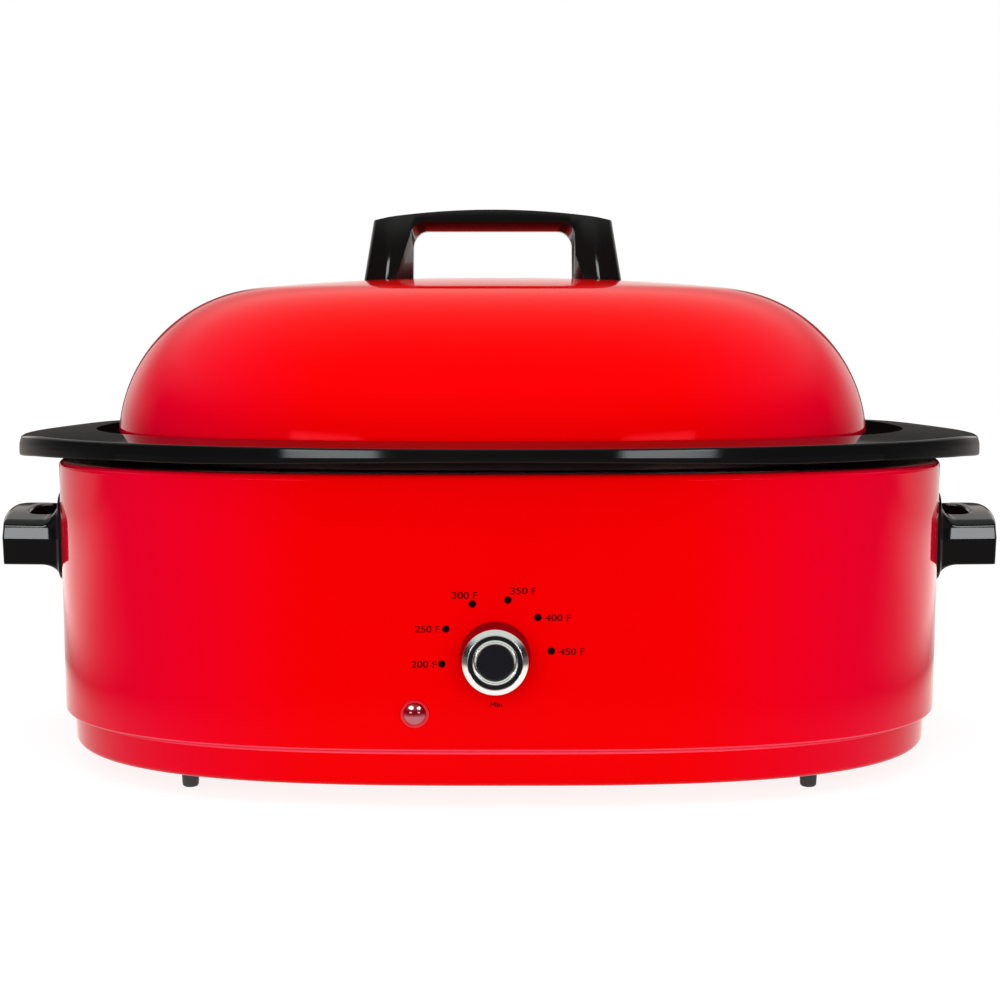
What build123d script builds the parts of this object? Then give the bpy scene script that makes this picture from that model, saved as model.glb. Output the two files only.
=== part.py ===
from build123d import *
from math import cos, pi, radians, sin
import os

# Electric roaster oven: an oval steel body on four rubber feet, a removable enamelled
# cookwell with a wide flange, a domed lid that lifts off, and a dial at the front.
# Millimetres. +Z is up, +X runs to the right-hand side handle, and the dial faces -Y.
# The origin is the centre of the footprint, on the surface that the feet stand on.

# ---- overall sizes -------------------------------------------------------------------
BODY_HALF_WIDTH = 248.0
BODY_HALF_DEPTH = 191.0
BODY_SQUARENESS = 2.92
BODY_WALL_HEIGHT = 137.0
BODY_DRAFT = 1.0
BODY_FOOT_ROUND = 3.0
BODY_SHOULDER_ROUND = 3.0
BODY_SHOULDER_WIDTH = 14.0
BODY_FOOT_FLANGE = 9.0
SHEET = 0.6

# ---- base pan and feet ---------------------------------------------------------------
FOOT_HEIGHT = 10.0
FOOT_X = BODY_HALF_WIDTH - 88.0
FOOT_Y = BODY_HALF_DEPTH - 45.0
FOOT_TOP_RADIUS = 4.7
FOOT_TIP_RADIUS = 4.1
FOOT_NECK_RADIUS = 2.5
FOOT_PLUG_RADIUS = 3.6
FOOT_PLUG_HEIGHT = 3.5
BAND_HEIGHT = 18.0
BAND_STEP_ENDS = 5.0
BAND_STEP_FRONT = 1.2
BAND_DRAFT = 0.7
BAND_ROUND = 3.0
BAND_TOP_FLANGE = 10.0
VENT_LENGTH = 46.0
VENT_WIDTH = 4.5
VENT_PITCH = 14.0
VENT_COUNT = 6
VENT_X = 62.0

# ---- heat well (the fixed liner) -----------------------------------------------------
WELL_GAP_ENDS = 31.0
THERMOSTAT_ROOM = 6.7
WELL_SQUARENESS = 2.6
WELL_FLOOR_RISE = 17.2
WELL_FOOT_ROUND = 7.0
WELL_BEAD_WIDTH = 5.0
WELL_BEAD_RISE = 10.3
WELL_FLANGE_INSET = 8.0

# ---- heater band and insulation ------------------------------------------------------
HEATER_LOW = 20.8
HEATER_HEIGHT = 24.0
HEATER_THICKNESS = 2.0
HEATER_CLEARANCE = 0.2
HEATER_GAP = 12.0
HEATER_LUG_REACH = 12.0
HEATER_LUG_THICKNESS = 2.0
HEATER_TAB_RADIUS = 2.0
HEATER_TAB_REACH = 8.0
HEATER_TAB_LEFT = -34.0
HEATER_TAB_RIGHT = 26.0
WOOL_OUTER_GAP_ENDS = 10.0
WOOL_OUTER_GAP_FRONT = 8.0
WOOL_CLEARANCE = 0.3
WOOL_LOW = 6.8
WOOL_TOP_GAP = 7.0
WOOL_NOTCH_LEFT = -58.0
WOOL_NOTCH_RIGHT = 34.0
WOOL_NOTCH_TOP_MARGIN = 10.0
REAR_NOTCH_HALF_WIDTH = 20.0
FLOOR_WOOL_INSET = 17.0
FLOOR_WOOL_THICKNESS = 8.9

# ---- studs that hold the base pan ----------------------------------------------------
STUD_X = 110.0
STUD_Y = 70.0
STUD_RADIUS = 2.5
STUD_TAIL = 5.5
NUT_ACROSS_FLATS = 8.0
NUT_HEIGHT = 4.0
THREAD_CLEARANCE = 0.05
HOLE_CLEARANCE = 0.3

# ---- cookwell ------------------------------------------------------------------------
POT_GAP = 10.5
POT_SQUARENESS = 2.5
POT_SHEET = 0.8
POT_TAPER = 3.5
POT_FLOOR_CLEARANCE = 7.0
POT_FOOT_ROUND = 12.0
LEDGE_WIDTH = 20.5
RECESS_DEPTH = 4.7
RECESS_SLOPE = 5.0
RECESS_SQUARENESS = 2.4
FLANGE_REACH_ENDS = 46.0
FLANGE_REACH_FRONT = 27.1
FLANGE_SQUARENESS = 2.1
FLANGE_FALL = 3.0
FLANGE_LIP = 6.5
FLANGE_EDGE_ROUND = 3.0

# ---- lid -----------------------------------------------------------------------------
LID_PLAY = 11.6
LID_SQUARENESS = 2.5
LID_CROWN_SQUARENESS = 2.7
LID_SHEET = 0.8
LID_BEAD_HEIGHT = 3.7
LID_BEAD_WIDTH = 4.0
LID_SHOULDER_RADIUS = 88.0
LID_SIDE_DRAFT = 5.0
LID_CROWN_ANGLE = 83.0
LID_CROWN_RISE = 6.6
LID_SEAT_CLEARANCE = 0.3
LID_REST_X = -4.0

# ---- lid handle ----------------------------------------------------------------------
GRIP_HALF_LENGTH = 75.0
GRIP_TOP_HALF_LENGTH = 69.3
GRIP_END_HEIGHT = 33.5
GRIP_CROWN_HEIGHT = 39.0
GRIP_HALF_WIDTH = 20.0
GRIP_TOP_HALF_WIDTH = 16.0
GRIP_RIDGE_INSET = 13.5
GRIP_NOSE_HALF_WIDTH = 8.0
GRIP_WINDOW_HALF_LENGTH = 46.5
GRIP_BAR_THICKNESS = 12.0
GRIP_WINDOW_ROUND = 9.0
GRIP_SEAT = 0.15
GRIP_SCREW_X = 60.0
GRIP_SCREW_RADIUS = 2.5
GRIP_SCREW_DEPTH = 18.0
GRIP_SCREW_HEAD_RADIUS = 4.6
GRIP_SCREW_HEAD = 3.0
WASHER_RADIUS = 7.5
WASHER_THICKNESS = 1.0

# ---- side handles --------------------------------------------------------------------
EAR_Z = 120.8
EAR_REACH = 41.5
EAR_LOW = 103.4
EAR_HIGH = 132.6
EAR_HALF_WIDTH = 52.0
EAR_BOW_RADIUS = 130.0
EAR_WINDOW_HALF_WIDTH = 34.0
EAR_BAR_THICKNESS = 15.0
EAR_WINDOW_START = 4.5
EAR_CORNER_ROUND = 5.0
EAR_WINDOW_ROUND = 9.0
EAR_PAD_HEIGHT = 50.0
EAR_PAD_THICKNESS = 5.0
EAR_PAD_MARGIN = 3.0
EAR_PAD_ROUND = 6.0
EAR_SEAT = 0.2
EAR_SCREW_Y = 43.0
EAR_SCREW_RADIUS = 2.5
EAR_SCREW_DEPTH = 14.0
EAR_SCREW_HEAD_RADIUS = 4.5
EAR_SCREW_HEAD = 2.6
PLATE_THICKNESS = 1.2
PLATE_HEIGHT = 20.0
PLATE_HALF_LENGTH = 54.0
PLATE_SEAT = 0.15

# ---- dial, thermostat and knob -------------------------------------------------------
KNOB_X = -2.0
KNOB_Z = 76.0
KNOB_STANDOFF = 1.0
KNOB_BASE_RADIUS = 17.3
KNOB_FACE_RADIUS = 16.0
KNOB_SKIRT_HEIGHT = 16.8
KNOB_BEVEL_HEIGHT = 1.7
KNOB_BEVEL_RADIUS = 13.1
KNOB_POCKET_DEPTH = 3.2
KNOB_RING_RADIUS = 11.0
KNOB_RING_RECESS = 0.5
KNOB_CAP_RADIUS = 9.0
KNOB_CAP_RECESS = 0.6
KNOB_FIT = 0.05
KNOB_HOLLOW_RADIUS = 11.5
KNOB_HOLLOW_DEPTH = 6.0
SHAFT_RADIUS = 3.0
SHAFT_CLEARANCE = 0.05
SHAFT_TAIL = 8.0
SHAFT_INTO_KNOB = 12.5
BUSH_RADIUS = 4.9
BUSH_REACH = 5.4
BUSH_NUT_FLATS = 14.0
BUSH_NUT_HEIGHT = 2.8
THERMOSTAT_WIDTH = 42.0
THERMOSTAT_HEIGHT = 42.0
THERMOSTAT_DEPTH = 14.6
BRACKET_WIDTH = 60.0
BRACKET_HEIGHT = 50.0
BRACKET_THICKNESS = 1.0
BRACKET_SEAT = 0.15
BLADE_WIDTH = 20.0
BLADE_HEIGHT = 10.0
BLADE_THICKNESS = 0.6
BLADE_GAP = 0.2
BLADE_RISE = 14.0

# ---- indicator lamp ------------------------------------------------------------------
LAMP_X = -41.6
LAMP_Z = 47.3
LENS_RADIUS = 5.65
LENS_HEIGHT = 3.6
LENS_FLANGE_RADIUS = 7.3
LENS_FLANGE_THICKNESS = 0.7
LENS_SEAT = 0.1
LENS_STEM_RADIUS = 4.6
LENS_STEM_LENGTH = 11.0
LENS_BORE_RADIUS = 3.2
NEON_RADIUS = 2.9
NEON_LENGTH = 12.0
CLIP_RADIUS = 7.4
CLIP_THICKNESS = 0.6
CLIP_SEAT = 0.5

# ---- cord gland, terminal block, leads -----------------------------------------------
GLAND_Z = 52.0
GLAND_FLANGE_RADIUS = 10.0
GLAND_FLANGE_THICKNESS = 3.0
GLAND_NECK_RADIUS = 6.8
GLAND_COLLAR_RADIUS = 8.6
GLAND_COLLAR_THICKNESS = 4.0
GLAND_BORE_RADIUS = 4.0
GLAND_SEAT = 0.15
BLOCK_WIDTH = 64.0
BLOCK_DEPTH = 18.0
BLOCK_HEIGHT = 13.0
BLOCK_Y = BODY_HALF_DEPTH - 25.0
BLOCK_SCREW_PITCH = 18.0
BLOCK_SCREW_RADIUS = 3.0
BLOCK_SCREW_HEAD = 1.5
EARTH_X = 48.0
EARTH_SCREW_RADIUS = 2.0
EARTH_SCREW_LENGTH = 9.0
EARTH_HEAD_RADIUS = 3.8
EARTH_HEAD = 2.4
LEAD_RADIUS = 1.3
LEAD_FLOOR_GAP = 0.3
LEAD_LIVE_X = -10.0
LEAD_RISER_GAP = 2.0
LEAD_BEND = 8.0

# ---- roasting rack -------------------------------------------------------------------
RACK_INSET_ENDS = 44.0
RACK_INSET_FRONT = 47.0
RACK_CORNER = 45.0
RACK_WIRE_RADIUS = 2.5
RACK_CROSS_RADIUS = 1.6
RACK_CROSS_PITCH = 24.0
RACK_CROSS_COUNT = 13
RACK_LEG_HEIGHT = 12.0
RACK_LEG_X = 96.0
RACK_HANDLE_HEIGHT = 46.0
RACK_HANDLE_HALF_WIDTH = 42.0
RACK_HANDLE_BEND = 12.0
RACK_FLOOR_CLEARANCE = 0.3

# ---- how finely the ovals are drawn --------------------------------------------------
OVAL_POINTS = 32
ROUND_STEPS = 3
SHOULDER_STEPS = 12
CROWN_STEPS = 6
SKIN = 1.0


# ---- heights and ovals worked out from the sizes above -------------------------------
FLOOR = FOOT_HEIGHT
FLOOR_TOP = FLOOR + SHEET
BODY_BOTTOM = FLOOR + BAND_HEIGHT
BODY_TOP = BODY_BOTTOM + BODY_WALL_HEIGHT
WELL_BOTTOM = FLOOR + WELL_FLOOR_RISE
WELL_FLOOR_TOP = WELL_BOTTOM + SHEET
BEAD_TOP = BODY_TOP + WELL_BEAD_RISE
LEDGE_TOP = BEAD_TOP + POT_SHEET
RIM_TOP = LEDGE_TOP + RECESS_DEPTH
POT_BOTTOM = WELL_FLOOR_TOP + POT_FLOOR_CLEARANCE
POT_FLOOR = POT_BOTTOM + POT_SHEET
LID_BOTTOM = LEDGE_TOP + LID_SEAT_CLEARANCE
LID_WAIST = LID_BOTTOM + LID_BEAD_HEIGHT
RACK_LOW = POT_FLOOR + RACK_FLOOR_CLEARANCE
RACK_LEVEL = RACK_LOW + RACK_LEG_HEIGHT


def inset(size, ends, front=None):
    """An oval's sizes with the ends and the front moved in by these amounts."""
    half_width, half_depth, squareness = size
    return (half_width - ends, half_depth - (ends if front is None else front), squareness)


def reshaped(size, squareness):
    """The same half-width and half-depth with another squareness."""
    return (size[0], size[1], squareness)


BODY_TOP_SIZE = (BODY_HALF_WIDTH, BODY_HALF_DEPTH, BODY_SQUARENESS)
BODY_FOOT_SIZE = inset(BODY_TOP_SIZE, BODY_DRAFT)
BAND_TOP_SIZE = inset(BODY_FOOT_SIZE, BAND_STEP_ENDS, BAND_STEP_FRONT)
BAND_FOOT_SIZE = inset(BAND_TOP_SIZE, BAND_DRAFT)
WELL_GAP_FRONT = THERMOSTAT_DEPTH + THERMOSTAT_ROOM
WELL_SIZE = reshaped(inset(BODY_TOP_SIZE, WELL_GAP_ENDS, WELL_GAP_FRONT), WELL_SQUARENESS)
HEATER_SIZE = inset(WELL_SIZE, -HEATER_CLEARANCE)
WOOL_INNER_SIZE = inset(HEATER_SIZE, -HEATER_THICKNESS - WOOL_CLEARANCE)
WOOL_OUTER_SIZE = inset(BODY_TOP_SIZE, WOOL_OUTER_GAP_ENDS, WOOL_OUTER_GAP_FRONT)
POT_SIZE = reshaped(inset(WELL_SIZE, POT_GAP), POT_SQUARENESS)
POT_INNER_SIZE = inset(POT_SIZE, POT_SHEET)
LEDGE_SIZE = inset(POT_INNER_SIZE, -LEDGE_WIDTH)
RIM_SIZE = reshaped(inset(LEDGE_SIZE, -RECESS_SLOPE), RECESS_SQUARENESS)
FLANGE_SIZE = reshaped(inset(RIM_SIZE, -FLANGE_REACH_ENDS, -FLANGE_REACH_FRONT), FLANGE_SQUARENESS)
LID_SIZE = reshaped(inset(LEDGE_SIZE, LID_PLAY), LID_SQUARENESS)
RACK_HALF_LENGTH = POT_INNER_SIZE[0] - RACK_INSET_ENDS
RACK_HALF_WIDTH = POT_INNER_SIZE[1] - RACK_INSET_FRONT


# ---- oval building blocks ------------------------------------------------------------
def oval(size, z):
    """Closed smooth wire round a superellipse, its points evenly spread by angle."""
    half_width, half_depth, squareness = size
    points = []
    for step in range(OVAL_POINTS):
        angle = 2 * pi * step / OVAL_POINTS
        across = abs(cos(angle) / half_width) ** squareness
        along = abs(sin(angle) / half_depth) ** squareness
        radius = (across + along) ** (-1 / squareness)
        points.append((radius * cos(angle), radius * sin(angle), z))
    return Wire([Edge.make_spline(points, periodic=True)])


def stack(sections):
    """Solid through a pile of ovals, straight from each to the next."""
    return Solid.make_loft([oval(size, z) for size, z in sections], True)


def plug(size, low, high):
    """Straight-sided oval block."""
    return stack([(size, low), (size, high)])


def rounded_foot(size, z, radius):
    """Sections of a bottom edge that curls in with this radius."""
    angles = [pi / 2 * step / ROUND_STEPS for step in range(ROUND_STEPS + 1)]
    return [(inset(size, radius * (1 - sin(a))), z + radius * (1 - cos(a))) for a in angles]


def rounded_top(size, z, radius):
    """Sections of a top edge that curls in with this radius."""
    angles = [pi / 2 * step / ROUND_STEPS for step in range(ROUND_STEPS + 1)]
    return [(inset(size, radius * (1 - cos(a))), z - radius * (1 - sin(a))) for a in angles]


def body_size_at(z):
    """The body wall's oval at a height, with its slight draft."""
    span = BODY_WALL_HEIGHT - BODY_SHOULDER_ROUND - BODY_FOOT_ROUND
    return inset(BODY_TOP_SIZE, BODY_DRAFT * (BODY_TOP - BODY_SHOULDER_ROUND - z) / span)


def wall_y(size, x):
    """Distance of an oval's front or back from the middle plane, at this x."""
    half_width, half_depth, squareness = size
    return half_depth * (1 - abs(x / half_width) ** squareness) ** (1 / squareness)


def wall_x(size, y):
    """Distance of an oval's end from the middle plane, at this y."""
    half_width, half_depth, squareness = size
    return half_width * (1 - abs(y / half_depth) ** squareness) ** (1 / squareness)


# ---- small building blocks -----------------------------------------------------------
def rod(x, y, low, high, radius):
    """Upright round bar."""
    return Pos(x, y, (low + high) / 2) * Cylinder(radius, high - low)


def rod_x(low, high, y, z, radius):
    """Round bar along X."""
    return Pos((low + high) / 2, y, z) * Rot(0, 90, 0) * Cylinder(radius, high - low)


def rod_y(x, low, high, z, radius):
    """Round bar along Y."""
    return Pos(x, (low + high) / 2, z) * Rot(90, 0, 0) * Cylinder(radius, high - low)


def block(x_range, y_range, z_range):
    """Box between two corners."""
    spans = [high - low for low, high in (x_range, y_range, z_range)]
    middle = [(high + low) / 2 for low, high in (x_range, y_range, z_range)]
    return Pos(*middle) * Box(*spans)


def hexagon(across_flats, height):
    """Upright hexagonal prism on the XY plane."""
    return extrude(RegularPolygon(across_flats / 2, 6, major_radius=False), height)


def group(solids):
    """Several separate solids as one node."""
    return Compound(children=list(solids))


def front_turned(profile, x, y, z):
    """Turned piece: (radius, reach) points spun about an axis that points at -Y.
    Reach is counted outwards from the plane y."""
    face = make_face(Polyline(*profile, close=True))
    turned = revolve(Plane.XZ * face, Axis.Z)
    return Pos(x, y, z) * Rot(90, 0, 0) * turned


CORNERS = [(sx, sy) for sx in (-1, 1) for sy in (-1, 1)]


# ---- body shell ----------------------------------------------------------------------
def body_envelope(grow=0.0):
    """The body's outside as a full block, grown a little where something seats on it."""
    foot = rounded_foot(inset(BODY_FOOT_SIZE, -grow), BODY_BOTTOM, BODY_FOOT_ROUND)
    top = rounded_top(inset(BODY_TOP_SIZE, -grow), BODY_TOP, BODY_SHOULDER_ROUND)
    return stack(foot + top)


def make_body_shell():
    inner_foot_size = inset(BODY_FOOT_SIZE, SHEET)
    inner_top_size = inset(BODY_TOP_SIZE, SHEET)
    inner_foot = rounded_foot(inner_foot_size, BODY_BOTTOM + SHEET, BODY_FOOT_ROUND - SHEET)
    inner_top = rounded_top(inner_top_size, BODY_TOP - SHEET, BODY_SHOULDER_ROUND - SHEET)
    shell = body_envelope() - stack(inner_foot + inner_top)
    shell -= plug(inset(BODY_TOP_SIZE, BODY_SHOULDER_WIDTH), BODY_TOP - 2 * SHEET, BODY_TOP + SKIN)
    shell -= plug(inset(BODY_FOOT_SIZE, BODY_FOOT_FLANGE), BODY_BOTTOM - SKIN, BODY_BOTTOM + 2 * SHEET)
    front = -BODY_HALF_DEPTH - SKIN, -BODY_HALF_DEPTH + 2 * BODY_SHOULDER_ROUND
    shell -= rod_y(KNOB_X, *front, KNOB_Z, BUSH_RADIUS + HOLE_CLEARANCE)
    shell -= rod_y(LAMP_X, *front, LAMP_Z, LENS_STEM_RADIUS + HOLE_CLEARANCE)
    rear = BODY_HALF_DEPTH - 2 * BODY_SHOULDER_ROUND, BODY_HALF_DEPTH + SKIN
    shell -= rod_y(0, *rear, GLAND_Z, GLAND_NECK_RADIUS + HOLE_CLEARANCE)
    hole = EAR_SCREW_RADIUS + HOLE_CLEARANCE
    for sy in (-1, 1):
        shell -= rod_x(-BODY_HALF_WIDTH - SKIN, -BODY_HALF_WIDTH / 2, sy * EAR_SCREW_Y, EAR_Z, hole)
        shell -= rod_x(BODY_HALF_WIDTH / 2, BODY_HALF_WIDTH + SKIN, sy * EAR_SCREW_Y, EAR_Z, hole)
    return shell


# ---- base pan and feet ---------------------------------------------------------------
def make_base_pan():
    outer = stack(rounded_foot(BAND_FOOT_SIZE, FLOOR, BAND_ROUND) + [(BAND_TOP_SIZE, BODY_BOTTOM)])
    inner_foot = rounded_foot(inset(BAND_FOOT_SIZE, SHEET), FLOOR_TOP, BAND_ROUND - SHEET)
    inner = stack(inner_foot + [(inset(BAND_TOP_SIZE, SHEET), BODY_BOTTOM - SHEET)])
    pan = outer - inner
    pan -= plug(inset(BAND_TOP_SIZE, BAND_TOP_FLANGE), BODY_BOTTOM - 2 * SHEET, BODY_BOTTOM + SKIN)
    for sx, sy in CORNERS:
        pan -= rod(sx * FOOT_X, sy * FOOT_Y, FLOOR - SKIN, FLOOR_TOP + SKIN, FOOT_NECK_RADIUS + THREAD_CLEARANCE)
        pan -= rod(sx * STUD_X, sy * STUD_Y, FLOOR - SKIN, FLOOR_TOP + SKIN, STUD_RADIUS + HOLE_CLEARANCE)
    pan -= rod(EARTH_X, BLOCK_Y, FLOOR - SKIN, FLOOR_TOP + SKIN, EARTH_SCREW_RADIUS + THREAD_CLEARANCE)
    slot = extrude(SlotOverall(VENT_LENGTH, VENT_WIDTH), 2 * SHEET + SKIN)
    for sx in (-1, 1):
        for row in range(VENT_COUNT):
            y = (row - (VENT_COUNT - 1) / 2) * VENT_PITCH
            pan -= Pos(sx * VENT_X, y, FLOOR - SHEET) * slot
    return pan


def make_rubber_feet():
    """Push-in feet: a tapered pad, a neck through the floor and a plug above it."""
    rim = FOOT_TIP_RADIUS - 1.2
    profile = [
        (0, 0),
        (rim, 0),
        (FOOT_TIP_RADIUS, 1.2),
        (FOOT_TOP_RADIUS, FLOOR),
        (FOOT_NECK_RADIUS, FLOOR),
        (FOOT_NECK_RADIUS, FLOOR_TOP),
        (FOOT_PLUG_RADIUS, FLOOR_TOP),
        (FOOT_NECK_RADIUS, FLOOR_TOP + FOOT_PLUG_HEIGHT),
        (0, FLOOR_TOP + FOOT_PLUG_HEIGHT),
    ]
    foot = revolve(Plane.XZ * make_face(Polyline(*profile, close=True)), Axis.Z)
    return group([Pos(sx * FOOT_X, sy * FOOT_Y, 0) * foot for sx, sy in CORNERS])


# ---- heat well -----------------------------------------------------------------------
def make_heat_well():
    pan = stack(rounded_foot(WELL_SIZE, WELL_BOTTOM, WELL_FOOT_ROUND) + [(WELL_SIZE, BEAD_TOP)])
    bead = plug(inset(WELL_SIZE, -WELL_BEAD_WIDTH), BODY_TOP, BEAD_TOP)
    flange = plug(inset(BODY_TOP_SIZE, WELL_FLANGE_INSET), BODY_TOP, BODY_TOP + SHEET)
    under_bead = plug(inset(WELL_SIZE, SHEET - WELL_BEAD_WIDTH), BODY_TOP - SKIN, BEAD_TOP - SHEET)
    inner_size = inset(WELL_SIZE, SHEET)
    inner_foot = rounded_foot(inner_size, WELL_FLOOR_TOP, WELL_FOOT_ROUND - SHEET)
    inner = stack(inner_foot + [(inner_size, BEAD_TOP + SKIN)])
    return pan + (bead + flange - under_bead) - inner


def make_well_studs():
    tail = FLOOR - STUD_TAIL
    return group([rod(sx * STUD_X, sy * STUD_Y, tail, WELL_BOTTOM, STUD_RADIUS) for sx, sy in CORNERS])


def make_stud_nuts():
    nut = hexagon(NUT_ACROSS_FLATS, NUT_HEIGHT) - rod(0, 0, -SKIN, NUT_HEIGHT + SKIN, STUD_RADIUS + THREAD_CLEARANCE)
    return group([Pos(sx * STUD_X, sy * STUD_Y, FLOOR - NUT_HEIGHT) * nut for sx, sy in CORNERS])


# ---- heater band ---------------------------------------------------------------------
HEATER_Z = (WELL_BOTTOM + HEATER_LOW, WELL_BOTTOM + HEATER_LOW + HEATER_HEIGHT)
HEATER_MIDDLE = sum(HEATER_Z) / 2
LUG_Y = (wall_y(HEATER_SIZE, 0), wall_y(HEATER_SIZE, 0) + HEATER_LUG_REACH)
CLAMP_Y = (LUG_Y[0] + HEATER_THICKNESS + LUG_Y[1]) / 2
TAB_END = -(wall_y(HEATER_SIZE, 0) + HEATER_THICKNESS + HEATER_TAB_REACH)


def make_heater_band():
    band = plug(inset(HEATER_SIZE, -HEATER_THICKNESS), *HEATER_Z) - plug(
        HEATER_SIZE, HEATER_Z[0] - SKIN, HEATER_Z[1] + SKIN
    )
    half_gap = HEATER_GAP / 2
    band -= block((-half_gap, half_gap), (0, BODY_HALF_DEPTH), (HEATER_Z[0] - SKIN, HEATER_Z[1] + SKIN))
    screw_hole = rod_x(-HEATER_GAP, HEATER_GAP, CLAMP_Y, HEATER_MIDDLE, STUD_RADIUS)
    for sx in (-1, 1):
        x_range = sorted((sx * half_gap, sx * (half_gap + HEATER_LUG_THICKNESS)))
        band += block(x_range, (LUG_Y[0] + SHEET, LUG_Y[1]), HEATER_Z) - screw_hole
    for x in (HEATER_TAB_LEFT, HEATER_TAB_RIGHT):
        start = -wall_y(HEATER_SIZE, x) - HEATER_THICKNESS / 2
        band += rod_y(x, TAB_END, start, HEATER_MIDDLE, HEATER_TAB_RADIUS)
    return band


def make_clamp_screw():
    """Screw and nut that draw the heater band's two lugs together."""
    lug_face = HEATER_GAP / 2 + HEATER_LUG_THICKNESS
    radius = STUD_RADIUS - 2 * THREAD_CLEARANCE
    screw = rod_x(-lug_face, lug_face + NUT_HEIGHT, CLAMP_Y, HEATER_MIDDLE, radius)
    screw += rod_x(-lug_face - NUT_HEIGHT / 2, -lug_face, CLAMP_Y, HEATER_MIDDLE, NUT_ACROSS_FLATS / 2)
    nut = Pos(lug_face, CLAMP_Y, HEATER_MIDDLE) * Rot(0, 90, 0) * hexagon(NUT_ACROSS_FLATS, NUT_HEIGHT)
    return screw + nut


# ---- insulation ----------------------------------------------------------------------
def make_side_insulation():
    low = WELL_BOTTOM + WOOL_LOW
    high = BODY_TOP - WOOL_TOP_GAP
    wool = plug(WOOL_OUTER_SIZE, low, high) - plug(WOOL_INNER_SIZE, low - SKIN, high + SKIN)
    notch_top = KNOB_Z + BRACKET_HEIGHT / 2 + WOOL_NOTCH_TOP_MARGIN
    wool -= block((WOOL_NOTCH_LEFT, WOOL_NOTCH_RIGHT), (-BODY_HALF_DEPTH, 0), (low - SKIN, notch_top))
    half = REAR_NOTCH_HALF_WIDTH
    rear_top = max(GLAND_Z + GLAND_FLANGE_RADIUS, HEATER_Z[1]) + WOOL_NOTCH_TOP_MARGIN
    return wool - block((-half, half), (0, BODY_HALF_DEPTH), (low - SKIN, rear_top))


def make_floor_insulation():
    high = WELL_BOTTOM - WOOL_CLEARANCE
    wool = plug(inset(WELL_SIZE, FLOOR_WOOL_INSET), high - FLOOR_WOOL_THICKNESS, high)
    for sx, sy in CORNERS:
        wool -= rod(sx * STUD_X, sy * STUD_Y, FLOOR, WELL_BOTTOM, STUD_RADIUS + WOOL_CLEARANCE)
    return wool


# ---- thermostat ----------------------------------------------------------------------
KNOB_WALL = wall_y(body_size_at(KNOB_Z), KNOB_X)
BRACKET_CORNER = wall_y(inset(body_size_at(KNOB_Z - BRACKET_HEIGHT / 2), SHEET), abs(KNOB_X) + BRACKET_WIDTH / 2)
BRACKET_FACE = BRACKET_CORNER - BRACKET_SEAT
THERMOSTAT_FACE = BRACKET_FACE - BRACKET_THICKNESS
THERMOSTAT_BACK = THERMOSTAT_FACE - THERMOSTAT_DEPTH


def make_thermostat_bracket():
    half_w = BRACKET_WIDTH / 2
    half_h = BRACKET_HEIGHT / 2
    plate = block(
        (KNOB_X - half_w, KNOB_X + half_w), (-BRACKET_FACE, -THERMOSTAT_FACE), (KNOB_Z - half_h, KNOB_Z + half_h)
    )
    plate -= rod_y(KNOB_X, -BRACKET_FACE - SKIN, -THERMOSTAT_FACE + SKIN, KNOB_Z, BUSH_RADIUS + THREAD_CLEARANCE)
    return plate


def make_thermostat_body():
    half_w = THERMOSTAT_WIDTH / 2
    half_h = THERMOSTAT_HEIGHT / 2
    case = block(
        (KNOB_X - half_w, KNOB_X + half_w),
        (-THERMOSTAT_FACE, -THERMOSTAT_BACK),
        (KNOB_Z - half_h, KNOB_Z + half_h),
    )
    case = fillet(case.edges().filter_by(Axis.Y), LEAD_RADIUS * 2)
    hollow = SHAFT_TAIL + SHAFT_CLEARANCE
    return case - rod_y(KNOB_X, -THERMOSTAT_FACE - SKIN, -THERMOSTAT_FACE + hollow, KNOB_Z, SHAFT_RADIUS + SHAFT_CLEARANCE)


def make_thermostat_bush():
    end = KNOB_WALL + BUSH_REACH
    bush = rod_y(KNOB_X, -end, -THERMOSTAT_FACE, KNOB_Z, BUSH_RADIUS)
    return bush - rod_y(KNOB_X, -end - SKIN, -THERMOSTAT_FACE + SKIN, KNOB_Z, SHAFT_RADIUS + SHAFT_CLEARANCE)


def make_bush_nut():
    start = KNOB_WALL + LENS_SEAT
    nut = hexagon(BUSH_NUT_FLATS, BUSH_NUT_HEIGHT) - rod(0, 0, -SKIN, BUSH_NUT_HEIGHT + SKIN, BUSH_RADIUS + THREAD_CLEARANCE)
    return Pos(KNOB_X, -start, KNOB_Z) * Rot(90, 0, 0) * nut


def make_sensing_blade():
    """Blade that carries the heat well's warmth to the back of the thermostat."""
    pad_front = wall_y(WELL_SIZE, abs(KNOB_X) + BLADE_WIDTH / 2) + BLADE_GAP
    pad_front = max(pad_front, wall_y(WELL_SIZE, 0) + BLADE_GAP)
    pad_back = pad_front + BLADE_THICKNESS
    z = KNOB_Z + BLADE_RISE
    half = BLADE_WIDTH / 2
    z_range = (z - BLADE_HEIGHT / 2, z + BLADE_HEIGHT / 2)
    pad = block((KNOB_X - half, KNOB_X + half), (-pad_back, -pad_front), z_range)
    stem_x = (KNOB_X - half, KNOB_X - half + BLADE_THICKNESS)
    return pad + block(stem_x, (-THERMOSTAT_BACK, -pad_front), z_range)


# ---- knob ----------------------------------------------------------------------------
KNOB_FACE_REACH = KNOB_STANDOFF + KNOB_SKIRT_HEIGHT + KNOB_BEVEL_HEIGHT
KNOB_POCKET_FLOOR = KNOB_FACE_REACH - KNOB_POCKET_DEPTH
KNOB_HOLLOW_END = KNOB_STANDOFF + KNOB_HOLLOW_DEPTH


def knob_piece(profile):
    return front_turned(profile, KNOB_X, -KNOB_WALL, KNOB_Z)


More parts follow.
